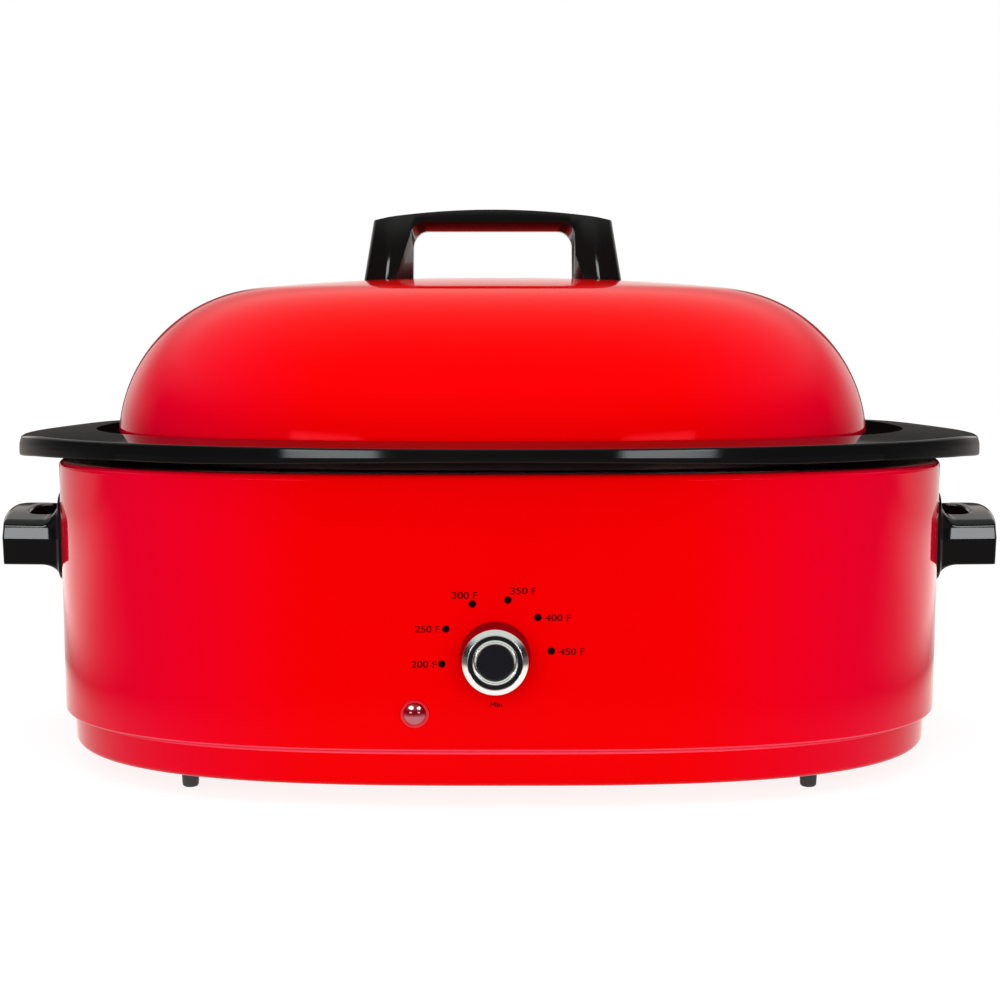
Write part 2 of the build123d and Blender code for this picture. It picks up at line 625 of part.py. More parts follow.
def make_thermostat_shaft():
    inner = THERMOSTAT_FACE - SHAFT_TAIL
    outer = KNOB_WALL + KNOB_STANDOFF + SHAFT_INTO_KNOB
    return rod_y(KNOB_X, -outer, -inner, KNOB_Z, SHAFT_RADIUS)


def make_knob_skirt():
    """Bright tapered skirt: hollow behind, with a stepped pocket in its face."""
    skirt = [
        (KNOB_HOLLOW_RADIUS, KNOB_STANDOFF),
        (KNOB_BASE_RADIUS, KNOB_STANDOFF),
        (KNOB_FACE_RADIUS, KNOB_STANDOFF + KNOB_SKIRT_HEIGHT),
        (KNOB_BEVEL_RADIUS, KNOB_FACE_REACH),
        (KNOB_BEVEL_RADIUS, KNOB_POCKET_FLOOR),
        (0, KNOB_POCKET_FLOOR),
        (0, KNOB_HOLLOW_END),
        (KNOB_HOLLOW_RADIUS, KNOB_HOLLOW_END),
    ]
    bore = rod_y(
        KNOB_X,
        -KNOB_WALL - KNOB_STANDOFF - SHAFT_INTO_KNOB,
        -KNOB_WALL,
        KNOB_Z,
        SHAFT_RADIUS + KNOB_FIT,
    )
    return knob_piece(skirt) - bore


def make_knob_black_ring():
    top = KNOB_FACE_REACH - KNOB_RING_RECESS
    outer = KNOB_BEVEL_RADIUS - KNOB_FIT
    inner = KNOB_RING_RADIUS + KNOB_FIT
    return knob_piece([(inner, KNOB_POCKET_FLOOR), (outer, KNOB_POCKET_FLOOR), (outer, top), (inner, top)])


def make_knob_inner_ring():
    top = KNOB_FACE_REACH + KNOB_RING_RECESS
    inner = KNOB_CAP_RADIUS + KNOB_FIT
    crest = (KNOB_RING_RADIUS + inner) / 2
    shoulder = KNOB_FACE_REACH - KNOB_RING_RECESS
    return knob_piece(
        [
            (inner, KNOB_POCKET_FLOOR),
            (KNOB_RING_RADIUS, KNOB_POCKET_FLOOR),
            (KNOB_RING_RADIUS, shoulder),
            (crest, top),
            (inner, shoulder),
        ]
    )


def make_knob_cap():
    top = KNOB_FACE_REACH - KNOB_CAP_RECESS
    return knob_piece([(0, KNOB_POCKET_FLOOR), (KNOB_CAP_RADIUS, KNOB_POCKET_FLOOR), (KNOB_CAP_RADIUS, top), (0, top)])


# ---- indicator lamp ------------------------------------------------------------------
LAMP_WALL = wall_y(body_size_at(LAMP_Z + LENS_FLANGE_RADIUS), abs(LAMP_X) - LENS_FLANGE_RADIUS)


def lamp_piece(profile):
    return front_turned(profile, LAMP_X, -LAMP_WALL, LAMP_Z)


def make_indicator_lens():
    """Red lens: domed cap, thin flange on the shell, and a hollow stem through it."""
    base = LENS_SEAT + LENS_FLANGE_THICKNESS
    dome = [
        (LENS_RADIUS * cos(a), base + LENS_HEIGHT * sin(a)) for a in [pi / 2 * step / 6 for step in range(7)]
    ]
    dome[-1] = (0, base + LENS_HEIGHT)
    bore_end = base + LENS_HEIGHT / 4
    profile = [
        (LENS_BORE_RADIUS, -LENS_STEM_LENGTH),
        (LENS_STEM_RADIUS, -LENS_STEM_LENGTH),
        (LENS_STEM_RADIUS, LENS_SEAT),
        (LENS_FLANGE_RADIUS, LENS_SEAT),
        (LENS_FLANGE_RADIUS - LENS_FLANGE_THICKNESS / 2, base),
    ]
    return lamp_piece(profile + dome + [(0, bore_end), (LENS_BORE_RADIUS, bore_end)])


def make_neon_lamp():
    end = -LENS_STEM_LENGTH + NEON_LENGTH
    tip = [(NEON_RADIUS, end - NEON_RADIUS / 2), (NEON_RADIUS / 2, end), (0, end)]
    return lamp_piece([(0, -LENS_STEM_LENGTH), (NEON_RADIUS, -LENS_STEM_LENGTH)] + tip)


def make_lens_clip():
    inner = LENS_STEM_RADIUS + THREAD_CLEARANCE
    front = -SHEET - CLIP_SEAT
    back = front - CLIP_THICKNESS
    return lamp_piece([(inner, back), (CLIP_RADIUS, back), (CLIP_RADIUS, front), (inner, front)])


# ---- cord gland, terminal block, earth screw, leads ----------------------------------
GLAND_WALL = wall_y(body_size_at(GLAND_Z), 0)


def make_cord_gland():
    """Snap-in bush at the rear: flange outside, collar inside, bore for a mains cord."""
    inside = -SHEET - GLAND_SEAT
    profile = [
        (GLAND_BORE_RADIUS, inside - GLAND_COLLAR_THICKNESS),
        (GLAND_COLLAR_RADIUS, inside - GLAND_COLLAR_THICKNESS),
        (GLAND_COLLAR_RADIUS, inside),
        (GLAND_NECK_RADIUS, inside),
        (GLAND_NECK_RADIUS, GLAND_SEAT),
        (GLAND_FLANGE_RADIUS, GLAND_SEAT),
        (GLAND_FLANGE_RADIUS - SHEET, GLAND_SEAT + GLAND_FLANGE_THICKNESS),
        (GLAND_BORE_RADIUS, GLAND_SEAT + GLAND_FLANGE_THICKNESS),
    ]
    return Rot(0, 0, 180) * front_turned(profile, 0, -GLAND_WALL, GLAND_Z)


def make_terminal_block():
    half = BLOCK_WIDTH / 2
    y_range = (BLOCK_Y - BLOCK_DEPTH / 2, BLOCK_Y + BLOCK_DEPTH / 2)
    top = FLOOR_TOP + BLOCK_HEIGHT
    body = block((-half, half), y_range, (FLOOR_TOP, top))
    for row in (-1, 0, 1):
        body += rod(row * BLOCK_SCREW_PITCH, BLOCK_Y, top, top + BLOCK_SCREW_HEAD, BLOCK_SCREW_RADIUS)
    return body


def make_earth_screw():
    """Screw from below through the floor, with its nut inside."""
    screw = rod(EARTH_X, BLOCK_Y, FLOOR, FLOOR + EARTH_SCREW_LENGTH, EARTH_SCREW_RADIUS)
    head = rod(EARTH_X, BLOCK_Y, FLOOR - EARTH_HEAD, FLOOR, EARTH_HEAD_RADIUS)
    nut = Pos(EARTH_X, BLOCK_Y, FLOOR_TOP) * hexagon(2 * EARTH_HEAD_RADIUS, NUT_HEIGHT)
    return screw + head + nut


def lead(points):
    """Insulated wire: straight runs joined by tangent arcs."""
    path = FilletPolyline(*points, radius=LEAD_BEND)
    start = Plane(origin=path @ 0, z_dir=path % 0)
    return sweep(start * Circle(LEAD_RADIUS), path=path)


def make_supply_leads():
    """Live lead to the thermostat and neutral lead to the heater's right-hand tab."""
    z = FLOOR_TOP + LEAD_FLOOR_GAP + LEAD_RADIUS
    back = BLOCK_Y - BLOCK_DEPTH / 2
    riser = -(wall_y(WELL_SIZE, 0) + LEAD_RISER_GAP + LEAD_RADIUS)
    forward = (-THERMOSTAT_FACE - THERMOSTAT_BACK) / 2
    knee = WELL_BOTTOM + WOOL_LOW
    thermostat_low = KNOB_Z - THERMOSTAT_HEIGHT / 2
    tab_low = HEATER_MIDDLE - HEATER_TAB_RADIUS
    ends = [(LEAD_LIVE_X, forward, thermostat_low), (HEATER_TAB_RIGHT, TAB_END + HEATER_TAB_RADIUS, tab_low)]
    wires = []
    for x, front, top in ends:
        step = abs(front - riser)
        points = [(x, back, z), (x, riser, z), (x, riser, knee), (x, front, knee + step), (x, front, top)]
        radii = [LEAD_BEND, LEAD_BEND / 2, LEAD_BEND / 2]
        path = FilletPolyline(*points, radius=radii)
        start = Plane(origin=path @ 0, z_dir=path % 0)
        wires.append(sweep(start * Circle(LEAD_RADIUS), path=path))
    return group(wires)


def make_heater_lead():
    """Switched lead from the thermostat's side to the heater's left-hand tab."""
    side = KNOB_X - THERMOSTAT_WIDTH / 2
    y = TAB_END + HEATER_TAB_RADIUS
    return rod_x(HEATER_TAB_LEFT + HEATER_TAB_RADIUS, side, y, HEATER_MIDDLE, LEAD_RADIUS)


# ---- side handles --------------------------------------------------------------------
EAR_WALL = wall_x(body_size_at(EAR_Z), 0)
EAR_OUTER = EAR_WALL + EAR_REACH
EAR_PLATE_SIZE = inset(body_size_at(EAR_Z - PLATE_HEIGHT / 2), SHEET + PLATE_SEAT)


def bowed_block(start, end, half_width, corner, taller):
    """Block as high as the grip bar whose outer side bows outwards, with round corners."""
    middle = end - EAR_BOW_RADIUS + (EAR_OUTER - end)
    radius = end - middle
    sag = radius - (radius**2 - half_width**2) ** 0.5
    outline = make_face(
        [
            Line((start, half_width), (start, -half_width)),
            Line((start, -half_width), (end - sag, -half_width)),
            ThreePointArc((end - sag, -half_width), (end, 0), (end - sag, half_width)),
            Line((end - sag, half_width), (start, half_width)),
        ]
    )
    outline = fillet(outline.vertices().group_by(Axis.X)[-1], corner)
    return Pos(0, 0, EAR_LOW - taller) * extrude(outline, EAR_HIGH - EAR_LOW + 2 * taller)


def make_right_ear():
    """Moulded loop: two legs on flared pads and a grip bar, with holes for its screws."""
    window_start = EAR_WALL + EAR_WINDOW_START
    loop = bowed_block(EAR_WALL / 2, EAR_OUTER, EAR_HALF_WIDTH, EAR_CORNER_ROUND, 0)
    loop -= bowed_block(window_start, EAR_OUTER - EAR_BAR_THICKNESS, EAR_WINDOW_HALF_WIDTH, EAR_WINDOW_ROUND, SKIN)
    pad_width = EAR_HALF_WIDTH - EAR_WINDOW_HALF_WIDTH + 2 * EAR_PAD_MARGIN
    pad = extrude(Plane.YZ * RectangleRounded(pad_width, EAR_PAD_HEIGHT, EAR_PAD_ROUND), EAR_WALL)
    keep = block((EAR_WALL / 2, EAR_WALL + EAR_PAD_THICKNESS), (-BODY_HALF_DEPTH, BODY_HALF_DEPTH), (FLOOR, RIM_TOP))
    for sy in (-1, 1):
        loop += Pos(EAR_WALL / 2, sy * EAR_SCREW_Y, EAR_Z) * pad & keep
    between = block((0, window_start), (-EAR_SCREW_Y + pad_width / 2, EAR_SCREW_Y - pad_width / 2), (FLOOR, RIM_TOP))
    loop -= between
    loop -= body_envelope(EAR_SEAT)
    for sy in (-1, 1):
        loop -= rod_x(0, EAR_WALL + EAR_SCREW_DEPTH, sy * EAR_SCREW_Y, EAR_Z, EAR_SCREW_RADIUS + THREAD_CLEARANCE)
    return loop


def mirrored(shape):
    return mirror(shape, about=Plane.YZ)


def make_right_plate():
    """Curved strip behind the shell that spreads the handle screws' load."""
    outer = plug(EAR_PLATE_SIZE, EAR_Z - PLATE_HEIGHT / 2, EAR_Z + PLATE_HEIGHT / 2)
    inner = plug(inset(EAR_PLATE_SIZE, PLATE_THICKNESS), EAR_Z - PLATE_HEIGHT, EAR_Z + PLATE_HEIGHT)
    reach = block((EAR_WALL / 2, EAR_WALL), (-PLATE_HALF_LENGTH, PLATE_HALF_LENGTH), (FLOOR, RIM_TOP))
    strip = (outer - inner) & reach
    for sy in (-1, 1):
        strip -= rod_x(0, EAR_WALL, sy * EAR_SCREW_Y, EAR_Z, EAR_SCREW_RADIUS + HOLE_CLEARANCE)
    return strip


def make_right_screws():
    spread = EAR_SCREW_Y + EAR_SCREW_HEAD_RADIUS
    head_top = wall_x(inset(EAR_PLATE_SIZE, PLATE_THICKNESS + PLATE_SEAT), spread)
    screws = []
    for sy in (-1, 1):
        y = sy * EAR_SCREW_Y
        shank = rod_x(head_top, EAR_WALL + EAR_SCREW_DEPTH - SKIN, y, EAR_Z, EAR_SCREW_RADIUS)
        screws.append(shank + rod_x(head_top - EAR_SCREW_HEAD, head_top, y, EAR_Z, EAR_SCREW_HEAD_RADIUS))
    return screws


# ---- cookwell ------------------------------------------------------------------------
def pot_wall(grow, floor, top):
    """The cookwell's tapered wall and rounded foot as a full block."""
    foot = inset(POT_SIZE, POT_TAPER - grow)
    return stack(rounded_foot(foot, floor, POT_FOOT_ROUND + grow) + [(inset(POT_SIZE, -grow), top)])


def flange_block(drop):
    """The wide sloped flange as a full block; drop moves its faces in by a wall."""
    edge = RIM_TOP - FLANGE_FALL
    lip = edge - FLANGE_LIP
    outer = inset(FLANGE_SIZE, drop)
    crease = edge - drop
    half_round = FLANGE_EDGE_ROUND / 2
    return stack(
        [
            (outer, lip),
            (inset(outer, FLANGE_EDGE_ROUND / 8), crease - FLANGE_EDGE_ROUND),
            (inset(outer, half_round), crease - FLANGE_EDGE_ROUND / 4),
            (inset(outer, FLANGE_EDGE_ROUND), crease),
            (inset(RIM_SIZE, -drop), RIM_TOP - drop),
        ]
    )


def make_cookwell():
    sheet = POT_SHEET
    flange = flange_block(0) - flange_block(sheet)
    dish = stack([(inset(LEDGE_SIZE, -sheet), BEAD_TOP), (inset(RIM_SIZE, -sheet), RIM_TOP - sheet / 2)])
    wall = pot_wall(0, POT_BOTTOM, BEAD_TOP + sheet)
    pot = flange + dish + wall
    pot -= stack([(LEDGE_SIZE, LEDGE_TOP), (RIM_SIZE, RIM_TOP), (RIM_SIZE, RIM_TOP + SKIN)])
    return pot - pot_wall(-sheet, POT_FLOOR, LEDGE_TOP + SKIN)


# ---- lid -----------------------------------------------------------------------------
def dome_sections(drop):
    """Ovals of the dome from its waist up: a shoulder arc and a low crown."""
    start = radians(LID_SIDE_DRAFT)
    end = radians(LID_CROWN_ANGLE)
    radius = LID_SHOULDER_RADIUS
    sections = []
    for step in range(SHOULDER_STEPS + 1):
        share = step / SHOULDER_STEPS
        angle = start + (end - start) * share
        move_in = radius * (cos(start) - cos(angle)) + drop * cos(angle)
        rise = radius * (sin(angle) - sin(start)) - drop * (sin(angle) - sin(start))
        squareness = LID_SQUARENESS + (LID_CROWN_SQUARENESS - LID_SQUARENESS) * share
        sections.append((reshaped(inset(LID_SIZE, move_in), squareness), LID_WAIST + rise))
    (width, depth, squareness), z = sections[-1]
    for step in range(1, CROWN_STEPS + 1):
        share = 1 - step / (CROWN_STEPS + 0.5)
        rise = LID_CROWN_RISE * (1 - share * share)
        sections.append(((width * share, depth * share, squareness), z + rise))
    return sections


def lid_outside(lift=0.0):
    """The dome's outside as a full block, raised a little where something seats on it."""
    upper = [(size, z + lift) for size, z in dome_sections(0)]
    dome = stack(upper)
    tuck = rounded_foot(LID_SIZE, LID_BOTTOM, LID_BEAD_HEIGHT)
    return dome + stack(tuck[:-1] + [(LID_SIZE, LID_WAIST + lift)])


def make_lid_shell():
    inside = stack(dome_sections(LID_SHEET))
    throat_size = inset(LID_SIZE, LID_BEAD_HEIGHT + LID_BEAD_WIDTH / 2)
    throat = plug(throat_size, LID_BOTTOM - SKIN, LID_WAIST + LID_BEAD_WIDTH)
    shell = lid_outside() - inside - throat
    for sx in (-1, 1):
        shell -= rod(sx * GRIP_SCREW_X, 0, LID_WAIST, LID_TOP + SKIN, GRIP_SCREW_RADIUS + HOLE_CLEARANCE)
    return shell


LID_TOP = dome_sections(0)[-1][1]
GRIP_FOOT = dome_sections(0)[-CROWN_STEPS - 1][1]


# ---- lid handle ----------------------------------------------------------------------
def make_lid_handle():
    """Bridge handle: long six-sided plan, crowned top, round-cornered finger window."""
    top_end = LID_TOP + GRIP_END_HEIGHT
    top_middle = LID_TOP + GRIP_CROWN_HEIGHT
    outline = make_face(
        [
            Line((-GRIP_HALF_LENGTH, GRIP_FOOT), (-GRIP_TOP_HALF_LENGTH, top_end)),
            ThreePointArc((-GRIP_TOP_HALF_LENGTH, top_end), (0, top_middle), (GRIP_TOP_HALF_LENGTH, top_end)),
            Line((GRIP_TOP_HALF_LENGTH, top_end), (GRIP_HALF_LENGTH, GRIP_FOOT)),
            Line((GRIP_HALF_LENGTH, GRIP_FOOT), (-GRIP_HALF_LENGTH, GRIP_FOOT)),
        ]
    )
    side_view = extrude(Plane.XZ * outline, GRIP_HALF_WIDTH, both=True)
    ridge = GRIP_HALF_LENGTH - GRIP_RIDGE_INSET
    shrink = GRIP_TOP_HALF_WIDTH / GRIP_HALF_WIDTH
    half_plan = [
        (ridge, -GRIP_HALF_WIDTH),
        (GRIP_HALF_LENGTH, -GRIP_NOSE_HALF_WIDTH),
        (GRIP_HALF_LENGTH, GRIP_NOSE_HALF_WIDTH),
        (ridge, GRIP_HALF_WIDTH),
    ]
    plan_points = half_plan + [(-x, -y) for x, y in half_plan]
    low = make_face(Polyline(*plan_points, close=True))
    high = make_face(Polyline(*[(x, y * shrink) for x, y in plan_points], close=True))
    prism = loft([Pos(0, 0, GRIP_FOOT) * low, Pos(0, 0, top_middle) * high], ruled=True)
    grip = side_view & prism
    window_top = top_middle - GRIP_BAR_THICKNESS
    window_height = 2 * (window_top - GRIP_FOOT)
    window = extrude(
        Plane.XZ * RectangleRounded(2 * GRIP_WINDOW_HALF_LENGTH, window_height, GRIP_WINDOW_ROUND),
        GRIP_HALF_WIDTH + SKIN,
        both=True,
    )
    grip -= Pos(0, 0, GRIP_FOOT) * window
    grip -= lid_outside(GRIP_SEAT)
    for sx in (-1, 1):
        bore_end = LID_TOP + GRIP_SCREW_DEPTH
        grip -= rod(sx * GRIP_SCREW_X, 0, GRIP_FOOT, bore_end, GRIP_SCREW_RADIUS + THREAD_CLEARANCE)
    return grip


def crown_drop_at(x):
    """How far the crown lies below the lid's top at this x."""
    width = dome_sections(0)[-CROWN_STEPS - 1][0][0]
    return LID_CROWN_RISE * (x / width) ** 2


WASHER_TOP = LID_TOP - LID_SHEET - crown_drop_at(GRIP_SCREW_X + WASHER_RADIUS) - HOLE_CLEARANCE


def make_grip_washers():
    rings = []
    for sx in (-1, 1):
        x = sx * GRIP_SCREW_X
        ring = rod(x, 0, WASHER_TOP - WASHER_THICKNESS, WASHER_TOP, WASHER_RADIUS)
        rings.append(ring - rod(x, 0, LID_WAIST, LID_TOP, GRIP_SCREW_RADIUS + THREAD_CLEARANCE))
    return group(rings)


def make_grip_screws():
    head_top = WASHER_TOP - WASHER_THICKNESS
    screws = []
    for sx in (-1, 1):
        x = sx * GRIP_SCREW_X
        shank = rod(x, 0, head_top, LID_TOP + GRIP_SCREW_DEPTH - SKIN, GRIP_SCREW_RADIUS)
        screws.append(shank + rod(x, 0, head_top - GRIP_SCREW_HEAD, head_top, GRIP_SCREW_HEAD_RADIUS))
    return group(screws)


# ---- roasting rack -------------------------------------------------------------------
def rack_loop(radius):
    """Wire bent round a rounded rectangle."""
    path = RectangleRounded(2 * RACK_HALF_LENGTH, 2 * RACK_HALF_WIDTH, RACK_CORNER).wire()
    path = Pos(0, 0, RACK_LEVEL) * path
    start = Plane(origin=path @ 0, z_dir=path % 0)
    return sweep(start * Circle(radius), path=path)


def make_rack_frame():
    """Loop with four legs and an upright lifting handle at each end."""
    frame = rack_loop(RACK_WIRE_RADIUS)
    for sx, sy in CORNERS:
        frame += rod(sx * RACK_LEG_X, sy * RACK_HALF_WIDTH, RACK_LOW, RACK_LEVEL, RACK_WIRE_RADIUS)
    for sx in (-1, 1):
        x = sx * RACK_HALF_LENGTH
        half = RACK_HANDLE_HALF_WIDTH
        top = RACK_LEVEL + RACK_HANDLE_HEIGHT
        points = [(x, -half, RACK_LEVEL), (x, -half, top), (x, half, top), (x, half, RACK_LEVEL)]
        path = FilletPolyline(*points, radius=RACK_HANDLE_BEND)
        start = Plane(origin=path @ 0, z_dir=path % 0)
        frame += sweep(start * Circle(RACK_WIRE_RADIUS), path=path)
    return frame


def make_rack_wires(frame):
    """Cross wires, cut to the loop that they are welded inside."""
    inside = extrude(RectangleRounded(2 * RACK_HALF_LENGTH, 2 * RACK_HALF_WIDTH, RACK_CORNER), 4 * RACK_WIRE_RADIUS)
    inside = Pos(0, 0, RACK_LEVEL - 2 * RACK_WIRE_RADIUS) * inside
    wires = []
    for row in range(RACK_CROSS_COUNT):
        x = (row - (RACK_CROSS_COUNT - 1) / 2) * RACK_CROSS_PITCH
        wire = rod_y(x, -RACK_HALF_WIDTH, RACK_HALF_WIDTH, RACK_LEVEL, RACK_CROSS_RADIUS)
        wires.append((wire & inside) - frame)
    return group(wires)


# ---- write every node ----------------------------------------------------------------
def build_nodes():
    right_ear = make_right_ear()
    right_plate = make_right_plate()
    right_screws = make_right_screws()
    rack_frame = make_rack_frame()
    lid_rest = Pos(LID_REST_X, 0, 0)
    return {
        "body_shell": make_body_shell(),
        "base_pan": make_base_pan(),
        "rubber_feet": make_rubber_feet(),
        "heat_well": make_heat_well(),
        "well_studs": make_well_studs(),
        "stud_nuts": make_stud_nuts(),
        "heater_band": make_heater_band(),
        "heater_clamp_screw": make_clamp_screw(),
        "side_insulation": make_side_insulation(),
        "floor_insulation": make_floor_insulation(),
        "thermostat_bracket": make_thermostat_bracket(),
        "thermostat_body": make_thermostat_body(),
        "thermostat_bush": make_thermostat_bush(),
        "bush_nut": make_bush_nut(),
        "sensing_blade": make_sensing_blade(),
        "thermostat_shaft": make_thermostat_shaft(),
        "knob_skirt": make_knob_skirt(),
        "knob_black_ring": make_knob_black_ring(),
        "knob_inner_ring": make_knob_inner_ring(),
        "knob_cap": make_knob_cap(),
        "indicator_lens": make_indicator_lens(),
        "neon_lamp": make_neon_lamp(),
        "lens_clip": make_lens_clip(),
        "cord_gland": make_cord_gland(),
        "terminal_block": make_terminal_block(),
        "earth_screw": make_earth_screw(),
        "supply_leads": make_supply_leads(),
        "heater_lead": make_heater_lead(),
        "side_handle_right": right_ear,
        "side_handle_left": mirrored(right_ear),
        "handle_plates": group([right_plate, mirrored(right_plate)]),
        "handle_screws": group(right_screws + [mirrored(screw) for screw in right_screws]),
        "cookwell": make_cookwell(),
        "lid_shell": lid_rest * make_lid_shell(),
        "lid_handle": lid_rest * make_lid_handle(),
        "lid_handle_washers": lid_rest * make_grip_washers(),
        "lid_handle_screws": lid_rest * make_grip_screws(),
        "rack_frame": rack_frame,
        "rack_wires": make_rack_wires(rack_frame),
    }


os.makedirs("parts", exist_ok=True)
for name, shape in build_nodes().items():
    export_step(shape, f"parts/{name}.step")
    print(name, round(shape.volume / 1000, 1), "cm3")
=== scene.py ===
from math import atan2, cos, hypot, pi, radians, sin, tan

import bmesh
import bpy
from mathutils import Matrix, Vector


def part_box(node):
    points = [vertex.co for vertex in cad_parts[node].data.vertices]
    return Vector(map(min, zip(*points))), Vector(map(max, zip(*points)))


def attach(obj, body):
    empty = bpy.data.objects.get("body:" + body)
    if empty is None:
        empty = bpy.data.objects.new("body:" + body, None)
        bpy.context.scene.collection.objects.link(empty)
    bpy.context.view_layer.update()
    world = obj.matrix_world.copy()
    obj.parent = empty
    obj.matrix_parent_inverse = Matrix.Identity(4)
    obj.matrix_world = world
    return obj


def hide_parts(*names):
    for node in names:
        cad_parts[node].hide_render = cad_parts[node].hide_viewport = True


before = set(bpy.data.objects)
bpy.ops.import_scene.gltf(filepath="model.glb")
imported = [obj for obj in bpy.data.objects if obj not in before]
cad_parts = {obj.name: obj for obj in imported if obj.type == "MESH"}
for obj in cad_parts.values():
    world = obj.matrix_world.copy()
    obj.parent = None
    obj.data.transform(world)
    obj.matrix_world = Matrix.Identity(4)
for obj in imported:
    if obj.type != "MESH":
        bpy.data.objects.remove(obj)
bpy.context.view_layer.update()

# Electric roaster oven. Sizes below are millimetres and every finished mesh is scaled to
# metres, so each piece lies where its CAD node lies: +Z up, dial towards -Y.
MM = 0.001
OVAL_STEPS = 288
ROUND_STEPS = 6
TURN_STEPS = 96
HOLD = 0.7
SHARP_ANGLE = radians(34)

# ---- levels and ovals shared with the frame: (half width, half depth, squareness) ------
BODY = (248.0, 191.0, 2.92)
BODY_BOTTOM, BODY_TOP, DRAFT = 28.0, 165.0, 1.0
BAND = (242.0, 188.8, 2.92)
BAND_BOTTOM = 10.0
SHEET, POT_SHEET, LID_SHEET = 0.6, 0.8, 0.8
WELL = (217.0, 169.7, 2.6)
WELL_BOTTOM, BEAD_TOP = 27.2, 175.3
POT = (205.7, 158.4, 2.5)
LEDGE = (226.2, 178.9, 2.5)
RIM = (231.2, 183.9, 2.4)
FLANGE = (277.2, 211.0, 2.1)
LEDGE_REACH, RIM_REACH, FLANGE_REACH = 20.5, 25.5, 71.5
POT_FLOOR, LEDGE_TOP, RIM_TOP = 35.6, 176.1, 180.8
LID = (214.6, 167.3, 2.5)
LID_BOTTOM, LID_WAIST = 176.4, 180.1
CROWN_SQUARENESS, CROWN_RISE = 2.7, 6.6
SHOULDER_RADIUS, SIDE_DRAFT, CROWN_ANGLE = 88.0, radians(5), radians(83)
SHOULDER_STEPS, CROWN_STEPS = 26, 12


def node_middle_x(node):
    low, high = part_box(node)
    return (low[0] + high[0]) / 2 / MM


LID_X = node_middle_x("lid_shell")


# ---- outlines --------------------------------------------------------------------------
def oval_reach(size, angle):
    half_width, half_depth, squareness = size
    across = abs(cos(angle) / half_width) ** squareness
    along = abs(sin(angle) / half_depth) ** squareness
    return (across + along) ** (-1 / squareness)


def oval_point(size, angle, z):
    reach = oval_reach(size, angle)
    return Vector((reach * cos(angle), reach * sin(angle), z))


def oval_outline(size, z):
    """Points round an oval at one level."""
    return [oval_point(size, 2 * pi * step / OVAL_STEPS, z) for step in range(OVAL_STEPS)]


def grown(size, amount):
    return (size[0] + amount, size[1] + amount, size[2])


def blended(stations, reach):
    """The oval that lies this far out across a row of (reach, oval) stations."""
    if reach <= stations[0][0]:
        return grown(stations[0][1], reach - stations[0][0])
    for (start, inner), (end, outer) in zip(stations, stations[1:]):
        if reach <= end:
            share = (reach - start) / (end - start)
            return tuple(a + (b - a) * share for a, b in zip(inner, outer))
    return grown(stations[-1][1], reach - stations[-1][0])


def rounded(corners, closed=True, steps=ROUND_STEPS, hold=HOLD):
    """Path through (across, up, radius) corners, each turned on its radius, with a point
    held just outside every turn so that the straight runs stay flat in the light."""
    path = []
    count = len(corners)
    for index, (across, up, radius) in enumerate(corners):
        here = Vector((across, up))
        if radius <= 0 or (not closed and index in (0, count - 1)):
            path.append(here)
            continue
        back = (Vector(corners[index - 1][:2]) - here).normalized()
        ahead = (Vector(corners[(index + 1) % count][:2]) - here).normalized()
        turn = pi - back.angle(ahead)
        cut = radius * tan(turn / 2)
        centre = here + (back + ahead).normalized() * radius / cos(turn / 2)
        arm = here + back * cut - centre
        last = here + ahead * cut - centre
        way = 1 if arm.x * last.y - arm.y * last.x > 0 else -1
        path.append(here + back * (cut + hold))
        for step in range(steps + 1):
            swing = Matrix.Rotation(way * turn * step / steps, 2)
            path.append(centre + swing @ arm)
        path.append(here + ahead * (cut + hold))
    return path


# ---- meshes ----------------------------------------------------------------------------
def raise_faces(mesh, move):
    """Extrudes every face of a flat mesh, and gives back the raised points."""
    made = bmesh.ops.extrude_face_region(mesh, geom=mesh.faces[:])["geom"]
    raised = [item for item in made if isinstance(item, bmesh.types.BMVert)]
    bmesh.ops.translate(mesh, verts=raised, vec=move)
    return raised


def placed(ring, outline):
    for vert, point in zip(ring, outline):
        vert.co = point


def skin(outlines, joined=False):
    """A ring of edges extruded from each outline to the next, then capped or joined up."""
    mesh = bmesh.new()
    bmesh.ops.create_circle(mesh, segments=len(outlines[0]), radius=1)
    mesh.verts.ensure_lookup_table()
    ring = list(mesh.verts)
    placed(ring, outlines[0])
    loop = list(mesh.edges)
    if not joined:
        bmesh.ops.contextual_create(mesh, geom=loop)
    for outline in outlines[1:] + ([outlines[0]] if joined else []):
        order = {vert.co.to_tuple(4): index for index, vert in enumerate(ring)}
        made = bmesh.ops.extrude_edge_only(mesh, edges=loop)["geom"]
        fresh = {item for item in made if isinstance(item, bmesh.types.BMVert)}
        ring = sorted(fresh, key=lambda vert: order[vert.co.to_tuple(4)])
        loop = [
            item
            for item in made
            if isinstance(item, bmesh.types.BMEdge) and all(vert in fresh for vert in item.verts)
        ]
        placed(ring, outline)
    if not joined:
        bmesh.ops.contextual_create(mesh, geom=loop)
    return mesh


def oval_skin(sections, joined=False):
    return skin([oval_outline(size, z) for size, z in sections], joined)


def spun(mesh, verts, centre, axis, steps):
    """Joins the points in a row and spins them a full turn."""
    edges = [mesh.edges.new(pair) for pair in zip(verts, verts[1:])]
    bmesh.ops.spin(
        mesh,
        geom=verts + edges,
        cent=centre,
        axis=axis,
        angle=2 * pi,
        steps=steps,
        use_merge=True,
    )


def turned(profile, x, wall, z):
    """(radius, reach) profile spun about an axis that points at -Y from the wall."""
    mesh = bmesh.new()
    verts = [mesh.verts.new((x + radius, -(wall + reach), z)) for radius, reach in profile]
    spun(mesh, verts, (x, 0, z), (0, 1, 0), TURN_STEPS)
    return mesh


